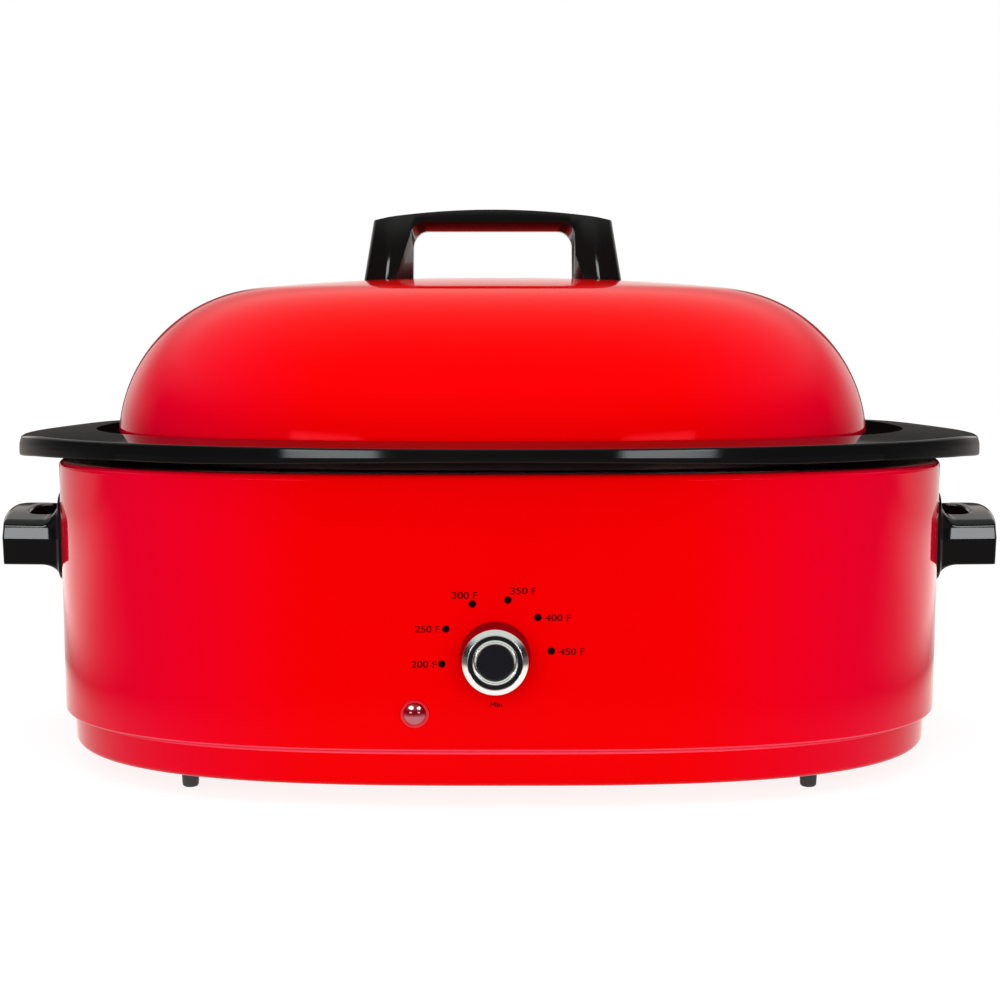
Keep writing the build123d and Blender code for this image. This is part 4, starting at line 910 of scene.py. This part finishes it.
# ---- side handles ----------------------------------------------------------------------
EAR_WALL, EAR_SEAT = 247.68, 0.2
EAR_OUT, EAR_IN, EAR_BOW = 289.1, 274.1, 172.0
EAR_ROOT_SIDE, EAR_CORNER_SIDE, EAR_IN_SIDE = 52.4, 49.6, 34.0
EAR_ROUND, EAR_WINDOW_ROUND = 1.3, 9.0
EAR_LOW, EAR_HIGH, EAR_CROWN = 103.4, 133.6, 5.2
EAR_CREASE, EAR_BAND_TOP = 118.2, 124.4
PLATE_LOW, PLATE_HIGH, PLATE_FACE = 95.1, 145.6, 249.0
FLARE_REACH, FLARE_STEPS, CORNER_STEPS = 10.5, 10, 40


def along(points, share):
    """The point this share of the way along a run of straight lines."""
    lengths = [(b - a).length for a, b in zip(points, points[1:])]
    left = share * sum(lengths)
    for (a, b), length in zip(zip(points, points[1:]), lengths):
        if left <= length:
            return a + (b - a) * (left / length)
        left -= length
    return points[-1]


def bowed(outermost, y):
    """x of the bar's inner or outer side, which both bow outwards, at this y."""
    radius = EAR_BOW - (EAR_OUT - outermost)
    return outermost - radius + (radius * radius - y * y) ** 0.5


def ear_stations():
    """(inner point, outer point, flare) from one leg's root round to the middle of the bar:
    the foot plate's edge, the flare that leaves it, the corner, and half of the bar."""
    plate = [(-9.0, 1.0), (-1.2, 1.0), (-0.3, 1.0), (0.3, 0.985), (0.7, 0.95), (1.0, 0.91)]
    stations = [(EAR_WALL + reach, flare) for reach, flare in plate]
    for step in range(1, FLARE_STEPS + 1):
        angle = radians(90 - 90 * step / FLARE_STEPS)
        stations.append((PLATE_FACE + FLARE_REACH * (1 - sin(angle)), 0.88 * (1 - cos(angle))))
    corner = bowed(EAR_OUT, EAR_CORNER_SIDE)
    slope = (EAR_ROOT_SIDE - EAR_CORNER_SIDE) / (corner - EAR_WALL)

    def side(x):
        return -EAR_ROOT_SIDE + slope * (x - EAR_WALL)

    rows = [(Vector((x, -EAR_IN_SIDE)), Vector((x, side(x))), flare) for x, flare in stations]
    turn = EAR_IN_SIDE - EAR_WINDOW_ROUND
    centre = Vector((bowed(EAR_IN, turn) - EAR_WINDOW_ROUND, -turn))
    leg_end, corner_point = (centre.x, side(centre.x), 0.0), (corner, side(corner), EAR_ROUND)
    outer_run = rounded([leg_end, corner_point, (bowed(EAR_OUT, 42.0), -42.0, 0.0)], closed=False)
    outer_run += [Vector((bowed(EAR_OUT, y), -y)) for y in (38.0, 34.0, 30.0, turn)]
    for step in range(CORNER_STEPS + 1):
        share = step / CORNER_STEPS
        angle = radians(-90 + 90 * share)
        inner = centre + EAR_WINDOW_ROUND * Vector((cos(angle), sin(angle)))
        rows.append((inner, along(outer_run, share), 0.0))
    for y in (20.0, 15.0, 10.0, 5.0, 0.0):
        rows.append((Vector((bowed(EAR_IN, y), -y)), Vector((bowed(EAR_OUT, y), -y)), 0.0))
    return rows


def ear_outline(inner, outer, flare):
    """The grip's cross-section between its inner and outer sides, spread by the flare."""
    way = (outer - inner).normalized()
    width = (outer - inner).length + 6.0 * flare
    start = inner - way * 3.0 * flare
    low = EAR_LOW + (PLATE_LOW - EAR_LOW) * flare
    plain = 1 - flare

    def top(point):
        crowned = EAR_HIGH - EAR_CROWN * abs(point.y / EAR_ROOT_SIDE) ** 1.6
        return crowned + (PLATE_HIGH - crowned) * flare

    def mixed(own):
        return own + (6.0 - own) * flare

    lean = 0.8 * plain
    corners = [
        (0.0, low, mixed(1.5)),
        (width - 0.6 * plain, low, mixed(0.8)),
        (width, EAR_CREASE, 1.0),
        (width - lean, EAR_BAND_TOP, 2.0),
        (width - lean - 0.3 * plain, top(outer), mixed(4.2)),
        (0.0, top(inner), mixed(2.0)),
    ]
    if flare > 0.02:
        corners[2] = (width - 0.02, EAR_CREASE, 1.0)
        corners[3] = (width - lean - 0.03, EAR_BAND_TOP, 2.0)
    return [Vector((*(start + way * across), up)) for across, up in rounded(corners, hold=0.3)]


def make_side_handle(name, side, node):
    rows = ear_stations()
    rows += [(Vector((a.x, -a.y)), Vector((b.x, -b.y)), flare) for a, b, flare in reversed(rows[:-1])]
    outlines = [ear_outline(*row) for row in rows]
    for outline in (outlines[0], outlines[-1]):
        for point in outline:
            point.x = wall_x(grown(body_oval(point.z), EAR_SEAT), point.y)
    mesh = skin(outlines)
    if side < 0:
        bmesh.ops.scale(mesh, vec=(-1, 1, 1), verts=mesh.verts)
    new_piece(name, mesh, BLACK_PLASTIC, "base", [node])


# ---- knob, lens, gland -----------------------------------------------------------------
KNOB_X, KNOB_Z = -2.0, 76.0
KNOB_WALL = wall_y(body_oval(KNOB_Z), KNOB_X)
KNOB_FACE, KNOB_POCKET, KNOB_STANDOFF = 19.5, 16.3, 1.0
SHAFT_BORE, CAP_BORE, RING_BORE, SKIRT_BORE = 3.1, 9.05, 11.05, 13.1
FACE_RADIUS, BASE_RADIUS, SKIRT_TOP = 16.0, 17.3, 17.8
LENS_FLANGE, LENS_RADIUS, LENS_HEIGHT, LENS_STEM, LENS_BORE, LENS_TAIL = 7.3, 5.65, 3.6, 4.6, 3.2, -11.0
LENS_STEPS = 14
LAMP_X, LAMP_Z = -41.6, 47.3
LAMP_WALL = wall_y(body_oval(LAMP_Z + LENS_FLANGE), abs(LAMP_X) - LENS_FLANGE)
GLAND_Z, GLAND_BORE, GLAND_FLANGE = 52.0, 4.0, 10.0


def knob_part(name, profile, material, node):
    mesh = turned(profile + [profile[0]], KNOB_X, KNOB_WALL, KNOB_Z)
    return new_piece(name, mesh, material, "knob", [node])


def make_knob():
    skirt = rounded(
        [
            (SHAFT_BORE, 7.0, 0.0),
            (11.5, 7.0, 0.4),
            (11.5, KNOB_STANDOFF, 0.3),
            (BASE_RADIUS, KNOB_STANDOFF, 0.5),
            (FACE_RADIUS, SKIRT_TOP, 0.5),
            (SKIRT_BORE, KNOB_FACE, 0.3),
            (SKIRT_BORE, KNOB_POCKET, 0.2),
            (SHAFT_BORE, KNOB_POCKET, 0.0),
        ],
        closed=False,
        hold=0.25,
    )
    trim = knob_part("dial_skirt", skirt, BRIGHT_TRIM, "knob_skirt")

    def on_the_side(x, y, z):
        return hypot(x - KNOB_X, z - KNOB_Z) > FACE_RADIUS - 0.3 and -y < KNOB_WALL + SKIRT_TOP - 0.4

    # Painted reflection: the skirt's side takes the dark red that stands for the mirrored body.
    refinish(trim, SKIRT_PAINTED_REFLECTION, on_the_side)
    black = rounded(
        [
            (RING_BORE, KNOB_POCKET, 0.0),
            (SKIRT_BORE - 0.05, KNOB_POCKET, 0.0),
            (SKIRT_BORE - 0.05, 18.9, 0.25),
            (RING_BORE, 18.9, 0.25),
        ],
        hold=0.1,
    )
    knob_part("dial_black_ring", black, GLOSS_BLACK, "knob_black_ring")
    bright = rounded(
        [
            (CAP_BORE, KNOB_POCKET, 0.0),
            (RING_BORE - 0.05, KNOB_POCKET, 0.0),
            (RING_BORE - 0.05, 19.0, 0.1),
            (10.02, 19.95, 0.5),
            (CAP_BORE, 19.0, 0.1),
        ],
        hold=0.1,
    )
    knob_part("dial_bright_ring", bright, BRIGHT_TRIM, "knob_inner_ring")
    cap = rounded(
        [
            (0.0, KNOB_POCKET, 0.0),
            (CAP_BORE - 0.1, KNOB_POCKET, 0.0),
            (CAP_BORE - 0.1, 18.7, 0.5),
            (0.0, 18.9, 0.0),
        ],
        closed=False,
        hold=0.3,
    )
    mesh = turned(cap, KNOB_X, KNOB_WALL, KNOB_Z)
    new_piece("dial_cap", mesh, GLOSS_BLACK, "knob", ["knob_cap"])


def make_lamp_lens():
    """A dome on a flange with a collar, and a stem with a bore for the lamp."""
    base = 0.8
    profile = [(LENS_BORE, LENS_TAIL), (LENS_STEM, LENS_TAIL), (LENS_STEM, 0.1), (LENS_FLANGE, 0.1)]
    profile += [(7.25, 0.45), (6.95, base), (6.0, base + 0.02)]
    for step in range(LENS_STEPS):
        angle = pi / 2 * step / LENS_STEPS
        profile.append((LENS_RADIUS * cos(angle), base + LENS_HEIGHT * sin(angle)))
    profile.append((0.0, base + LENS_HEIGHT))
    bore = [(0.0, 1.7), (2.6, 1.6), (LENS_BORE, 1.0), (LENS_BORE, LENS_TAIL)]
    mesh = turned(profile, LAMP_X, LAMP_WALL, LAMP_Z)
    add_mesh(mesh, turned(bore, LAMP_X, LAMP_WALL, LAMP_Z))
    lens = new_piece("lamp_lens", mesh, RED_LENS, "base", ["indicator_lens"])
    refinish(lens, LENS_COLLAR, lambda x, y, z: hypot(x - LAMP_X, z - LAMP_Z) > LENS_RADIUS + 0.05)

    def on_glint(x, y, z):
        across, up = x - LAMP_X, z - LAMP_Z
        left = hypot((across + 1.6) / 1.2, (up - 3.6) / 0.85)
        right = hypot((across - 2.2) / 0.9, (up - 3.4) / 0.75)
        return min(left, right) < 1 and -y > LAMP_WALL + base

    refinish(lens, LENS_GLINT, on_glint)


def make_gland():
    wall = wall_y(body_oval(GLAND_Z), 0.0)
    profile = rounded(
        [
            (GLAND_BORE, -4.75, 0.5),
            (8.6, -4.75, 0.5),
            (8.6, -0.75, 0.0),
            (6.8, -0.75, 0.0),
            (6.8, 0.15, 0.0),
            (GLAND_FLANGE, 0.15, 0.0),
            (GLAND_FLANGE - 0.6, 3.15, 0.9),
            (GLAND_BORE, 3.15, 0.7),
        ],
        hold=0.15,
    )
    mesh = turned(profile + [profile[0]], 0.0, wall, GLAND_Z)
    bmesh.ops.scale(mesh, vec=(1, -1, 1), verts=mesh.verts)
    new_piece("gland_bush", mesh, BLACK_PLASTIC, "base", ["cord_gland"])


# ---- dial print ------------------------------------------------------------------------
PRINT_LIFT, PRINT_DEEP = 0.09, 0.05
DOT_RADIUS, WORD_HIGH, MIN_HIGH, MIN_WIDE = 1.85, 3.35, 2.4, 5.6
NUMBER_SHARE, LETTER_SHARE = 0.665, 0.155
DIAL_DOTS = [
    (-28.18, 72.03),
    (-26.17, 89.39),
    (-13.19, 101.76),
    (4.15, 103.73),
    (18.82, 95.09),
    (25.46, 78.49),
]
# number, unit, left and right end, and middle height
DIAL_WORDS = [
    ("200", "F", -43.19, -30.78, 71.78),
    ("250", "F", -41.25, -29.4, 89.25),
    ("300", "F", -23.19, -10.89, 105.94),
    ("350", "F", 5.37, 17.77, 108.22),
    ("400", "F", 22.44, 34.96, 94.89),
    ("450", "F", 29.24, 41.59, 78.19),
]


def word_mesh(text, height):
    """Upright lettering as a thin closed mesh, its lower left corner at the origin."""
    curve = bpy.data.curves.new("lettering", "FONT")
    curve.body, curve.size, curve.extrude = text, 1.0, 0.01
    thing = bpy.data.objects.new("lettering", curve)
    bpy.context.scene.collection.objects.link(thing)
    mesh = bmesh.new()
    shaped = thing.evaluated_get(bpy.context.evaluated_depsgraph_get())
    mesh.from_mesh(shaped.to_mesh())
    shaped.to_mesh_clear()
    bpy.data.objects.remove(thing)
    bpy.data.curves.remove(curve)
    low_x, high_x = min(v.co.x for v in mesh.verts), max(v.co.x for v in mesh.verts)
    low_y, high_y = min(v.co.y for v in mesh.verts), max(v.co.y for v in mesh.verts)
    scale = height / (high_y - low_y)
    for vert in mesh.verts:
        deep = -1 if vert.co.z > 0 else 0
        vert.co = ((vert.co.x - low_x) * scale, deep * PRINT_DEEP, (vert.co.y - low_y) * scale)
    return mesh, (high_x - low_x) * scale


def print_word(whole, text, height, width, x, z):
    """Adds lettering of this height and width, with its lower left corner at x and z."""
    mesh, own_width = word_mesh(text, height)
    bmesh.ops.scale(mesh, vec=(width / own_width, 1, 1), verts=mesh.verts)
    bmesh.ops.translate(mesh, verts=mesh.verts, vec=(x, 0, z))
    add_mesh(whole, mesh)


def make_dial_print():
    """Numbers and "Min" are struck twice, a little apart, for their heavier strokes."""
    whole = bmesh.new()
    for digits, unit, low_x, high_x, middle in DIAL_WORDS:
        low_z, width = middle - WORD_HIGH / 2, high_x - low_x
        for right, up in ((0.0, 0.0), (0.16, 0.05)):
            print_word(whole, digits, WORD_HIGH, width * NUMBER_SHARE, low_x + right, low_z + up)
        print_word(whole, unit, WORD_HIGH, width * LETTER_SHARE, high_x - width * LETTER_SHARE, low_z)
    for right in (0.0, 0.14):
        print_word(whole, "Min", MIN_HIGH, MIN_WIDE, -4.5 + right, 50.6)
    for x, z in DIAL_DOTS:
        dot = bmesh.new()
        bmesh.ops.create_circle(dot, cap_ends=True, segments=40, radius=DOT_RADIUS)
        raised = raise_faces(dot, (0, 0, PRINT_DEEP))
        for vert in dot.verts:
            vert.co = (x + vert.co.x, -PRINT_DEEP if vert in raised else 0, z + vert.co.y)
        add_mesh(whole, dot)
    for vert in whole.verts:
        vert.co.y -= wall_y(body_oval(vert.co.z), vert.co.x) + PRINT_LIFT - PRINT_DEEP
    words = new_piece("dial_print", whole, DIAL_INK, "base")
    refinish(words, DOT_INK, lambda x, y, z: min(hypot(x - a, z - b) for a, b in DIAL_DOTS) < 2.0)


make_red_shell()
make_base_band()
make_foot_pads()
make_well_liner()
make_roasting_pan()
make_dome_lid()
make_lid_grip()
make_side_handle("right_handle", 1, "side_handle_right")
make_side_handle("left_handle", -1, "side_handle_left")
make_knob()
make_lamp_lens()
make_gland()
make_dial_print()


# ---- studio, in metres -----------------------------------------------------------------
FLOOR_RADIUS, FLOOR_TONE = 14.0, 0.25
FLOOR_GLOW, FLOOR_GLOW_SEEN, FLOOR_LEAST_GLOSS = 0.3, 0.86, 0.12
SKY_SHADER, SKY_LEVEL = "ShaderNodeBackground", 0.62
CAMERA_PLACE, CAMERA_PITCH, CAMERA_LENS = (0.0003, -1.05, 0.22945), 0.089, 63.94


class Sums:
    """Small helper that strings shader arithmetic together."""

    def __init__(self, tree):
        self.nodes, self.links = tree.nodes, tree.links

    def feed(self, socket, value):
        if isinstance(value, (int, float)):
            socket.default_value = value
        else:
            self.links.new(value, socket)

    def work(self, operation, *values):
        node = self.nodes.new("ShaderNodeMath")
        node.operation = operation
        for socket, value in zip(node.inputs, values):
            self.feed(socket, value)
        return node.outputs[0]

    def step(self, value, start, end, low=0.0, high=1.0):
        """Smooth step from low to high as the value goes from start to end."""
        node = self.nodes.new("ShaderNodeMapRange")
        node.interpolation_type = "SMOOTHSTEP"
        self.feed(node.inputs["Value"], value)
        for name, amount in (("From Min", start), ("From Max", end), ("To Min", low), ("To Max", high)):
            node.inputs[name].default_value = amount
        return node.outputs["Result"]

    def axes(self, kind):
        """x, y and z of one kind of coordinates."""
        node = self.nodes.new("ShaderNodeSeparateXYZ")
        self.links.new(self.nodes.new("ShaderNodeTexCoord").outputs[kind], node.inputs[0])
        return node.outputs

    def turn_from_front(self, x, y):
        """Degrees round from -Y, the same to the left and to the right."""
        out, ahead = self.work("ABSOLUTE", x), self.work("MULTIPLY", y, -1.0)
        return self.work("DEGREES", self.work("ARCTAN2", out, ahead))

    def rays(self):
        """Whether a ray is seen by the eye or through glass, and whether it is in a gloss."""
        path = self.nodes.new("ShaderNodeLightPath").outputs
        seen = self.work("MAXIMUM", path["Is Camera Ray"], path["Is Transmission Ray"])
        return seen, path["Is Glossy Ray"]

    def product(self, *values):
        total = values[0]
        for value in values[1:]:
            total = self.work("MULTIPLY", total, value)
        return total

    def glow(self, colour, strength, kind="ShaderNodeEmission"):
        node = self.nodes.new(kind)
        node.inputs["Color"].default_value = (*colour, 1)
        self.feed(node.inputs["Strength"], strength)
        return node.outputs[0]

    def either(self, share, first, second):
        node = self.nodes.new("ShaderNodeMixShader")
        self.feed(node.inputs[0], share)
        self.links.new(first, node.inputs[1])
        self.links.new(second, node.inputs[2])
        return node.outputs[0]

    def both(self, first, second):
        node = self.nodes.new("ShaderNodeAddShader")
        self.links.new(first, node.inputs[0])
        self.links.new(second, node.inputs[1])
        return node.outputs[0]


def make_floor():
    """Pale floor: white to the eye with a faint shadow, grey in front where the gloss
    mirrors it and pale behind."""
    mesh = bmesh.new()
    bmesh.ops.create_circle(mesh, cap_ends=True, segments=96, radius=FLOOR_RADIUS)
    data = bpy.data.meshes.new("studio_floor")
    mesh.to_mesh(data)
    mesh.free()
    floor = bpy.data.objects.new("studio_floor", data)
    bpy.context.scene.collection.objects.link(floor)
    material = bpy.data.materials.new("floor_white")
    material.use_nodes = True
    tree = material.node_tree
    sums = Sums(tree)
    surface, output = tree.nodes["Principled BSDF"], tree.nodes["Material Output"]
    surface.inputs["Base Color"].default_value = (FLOOR_TONE, FLOOR_TONE, FLOOR_TONE, 1)
    surface.inputs["Roughness"].default_value = 1.0
    surface.inputs["Specular IOR Level"].default_value = 0.0
    surface.inputs["Emission Color"].default_value = (1, 1, 1, 1)
    seen, in_gloss = sums.rays()
    lift = sums.work("ADD", sums.product(seen, FLOOR_GLOW_SEEN - FLOOR_GLOW), FLOOR_GLOW)
    tree.links.new(lift, surface.inputs["Emission Strength"])
    x, y, _ = sums.axes("Object")
    out, turn = sums.work("ABSOLUTE", x), sums.turn_from_front(x, y)
    away = sums.work("SQRT", sums.work("ADD", sums.product(x, x), sums.product(y, y)))
    near = sums.step(away, 0.36, 0.5, 1.2, 0.0)
    beside = sums.product(
        sums.step(out, 0.35, 0.6, 0.0, 1.8),
        sums.step(away, 1.0, 2.1, 1.0, 0.0),
        sums.step(y, -0.4, 0.3),
    )
    far_corner = sums.product(
        sums.step(turn, 150.0, 156.0),
        sums.step(turn, 170.0, 173.0, 0.95, 0.0),
        sums.step(away, 1.8, 2.4),
    )
    behind = sums.product(sums.step(y, -0.1, 0.4), sums.work("SUBTRACT", 1.0, far_corner))
    level = sums.work("MAXIMUM", behind, FLOOR_LEAST_GLOSS)
    for stretch in (near, beside):
        level = sums.work("MAXIMUM", stretch, level)
    mirrored = sums.glow((1.0, 0.92, 0.87), level)
    tree.links.new(sums.either(in_gloss, surface.outputs[0], mirrored), output.inputs[0])
    data.materials.append(material)


def make_world():
    """White to the eye, a plain even level of light on the object, and for the gloss a
    dark front with soft lamps at the sides and a pale backdrop."""
    world = bpy.data.worlds.new("studio")
    bpy.context.scene.world = world
    world.use_nodes = True
    tree = world.node_tree
    tree.nodes.clear()
    sums = Sums(tree)
    output = tree.nodes.new("ShaderNodeOutputWorld")
    seen, in_gloss = sums.rays()
    x, y, z = sums.axes("Generated")
    turn, rise = sums.turn_from_front(x, y), sums.work("DEGREES", sums.work("ARCSINE", z))

    def window(value, low, high, soft):
        opens = sums.step(value, low - soft, low + soft)
        return sums.product(opens, sums.step(value, high - soft, high + soft, 1.0, 0.0))

    def patch(turns, rises, soft, level):
        return sums.product(window(turn, *turns, soft), window(rise, *rises, soft), level)

    below = sums.step(rise, 9.0, 14.0, 1.0, 0.0)
    low_corner = sums.product(window(turn, 159.0, 171.0, 1.5), below, 0.93)
    wall = sums.product(sums.step(y, 0.35, 0.95, 0.02, 0.9), sums.step(rise, 7.0, 28.0, 1.0, 0.15))
    backdrop = sums.product(wall, sums.work("SUBTRACT", 1.0, low_corner))
    overhead = sums.step(rise, 14.0, 36.0, 0.0, 0.75)
    strip = patch((20.0, 38.0), (2.5, 10.0), 1.2, 10.0)
    sides = patch((110.0, 150.0), (3.0, 20.0), 6.0, 0.2)
    mirrored = sums.glow((1.0, 0.93, 0.88), backdrop, SKY_SHADER)
    for colour, level in (((0.93, 1.0, 0.95), overhead), ((0.95, 0.98, 1.0), strip), ((1, 1, 1), sides)):
        mirrored = sums.both(mirrored, sums.glow(colour, level, SKY_SHADER))
    lighting = sums.either(in_gloss, sums.glow((1, 1, 1), SKY_LEVEL, SKY_SHADER), mirrored)
    plain = sums.glow((1, 1, 1), 1.0, SKY_SHADER)
    tree.links.new(sums.either(seen, lighting, plain), output.inputs["Surface"])


def make_lamp(name, place, target, width, height, power):
    data = bpy.data.lights.new(name, "AREA")
    data.shape, data.size, data.size_y, data.energy = "RECTANGLE", width, height, power
    lamp = bpy.data.objects.new(name, data)
    bpy.context.scene.collection.objects.link(lamp)
    lamp.location = place
    lamp.rotation_euler = (Vector(target) - Vector(place)).to_track_quat("-Z", "Y").to_euler()
    lamp.visible_camera = lamp.visible_glossy = False


def make_camera():
    data = bpy.data.cameras.new("camera")
    data.sensor_width, data.sensor_fit, data.lens = 36.0, "HORIZONTAL", CAMERA_LENS
    data.clip_start, data.clip_end = 0.01, 60.0
    camera = bpy.data.objects.new("camera", data)
    bpy.context.scene.collection.objects.link(camera)
    camera.location = CAMERA_PLACE
    camera.rotation_euler = (pi / 2 - CAMERA_PITCH, 0, 0)
    bpy.context.scene.camera = camera


bpy.context.scene.view_settings.view_transform = "Standard"
make_floor()
make_world()
make_lamp("soft_front", (0, -2.2, 0.42), (0, 0, 0.1), 2.4, 1.2, 27.5)
make_lamp("soft_top", (0, -0.2, 1.7), (0, 0, 0), 1.6, 1.2, 9.0)
make_camera()
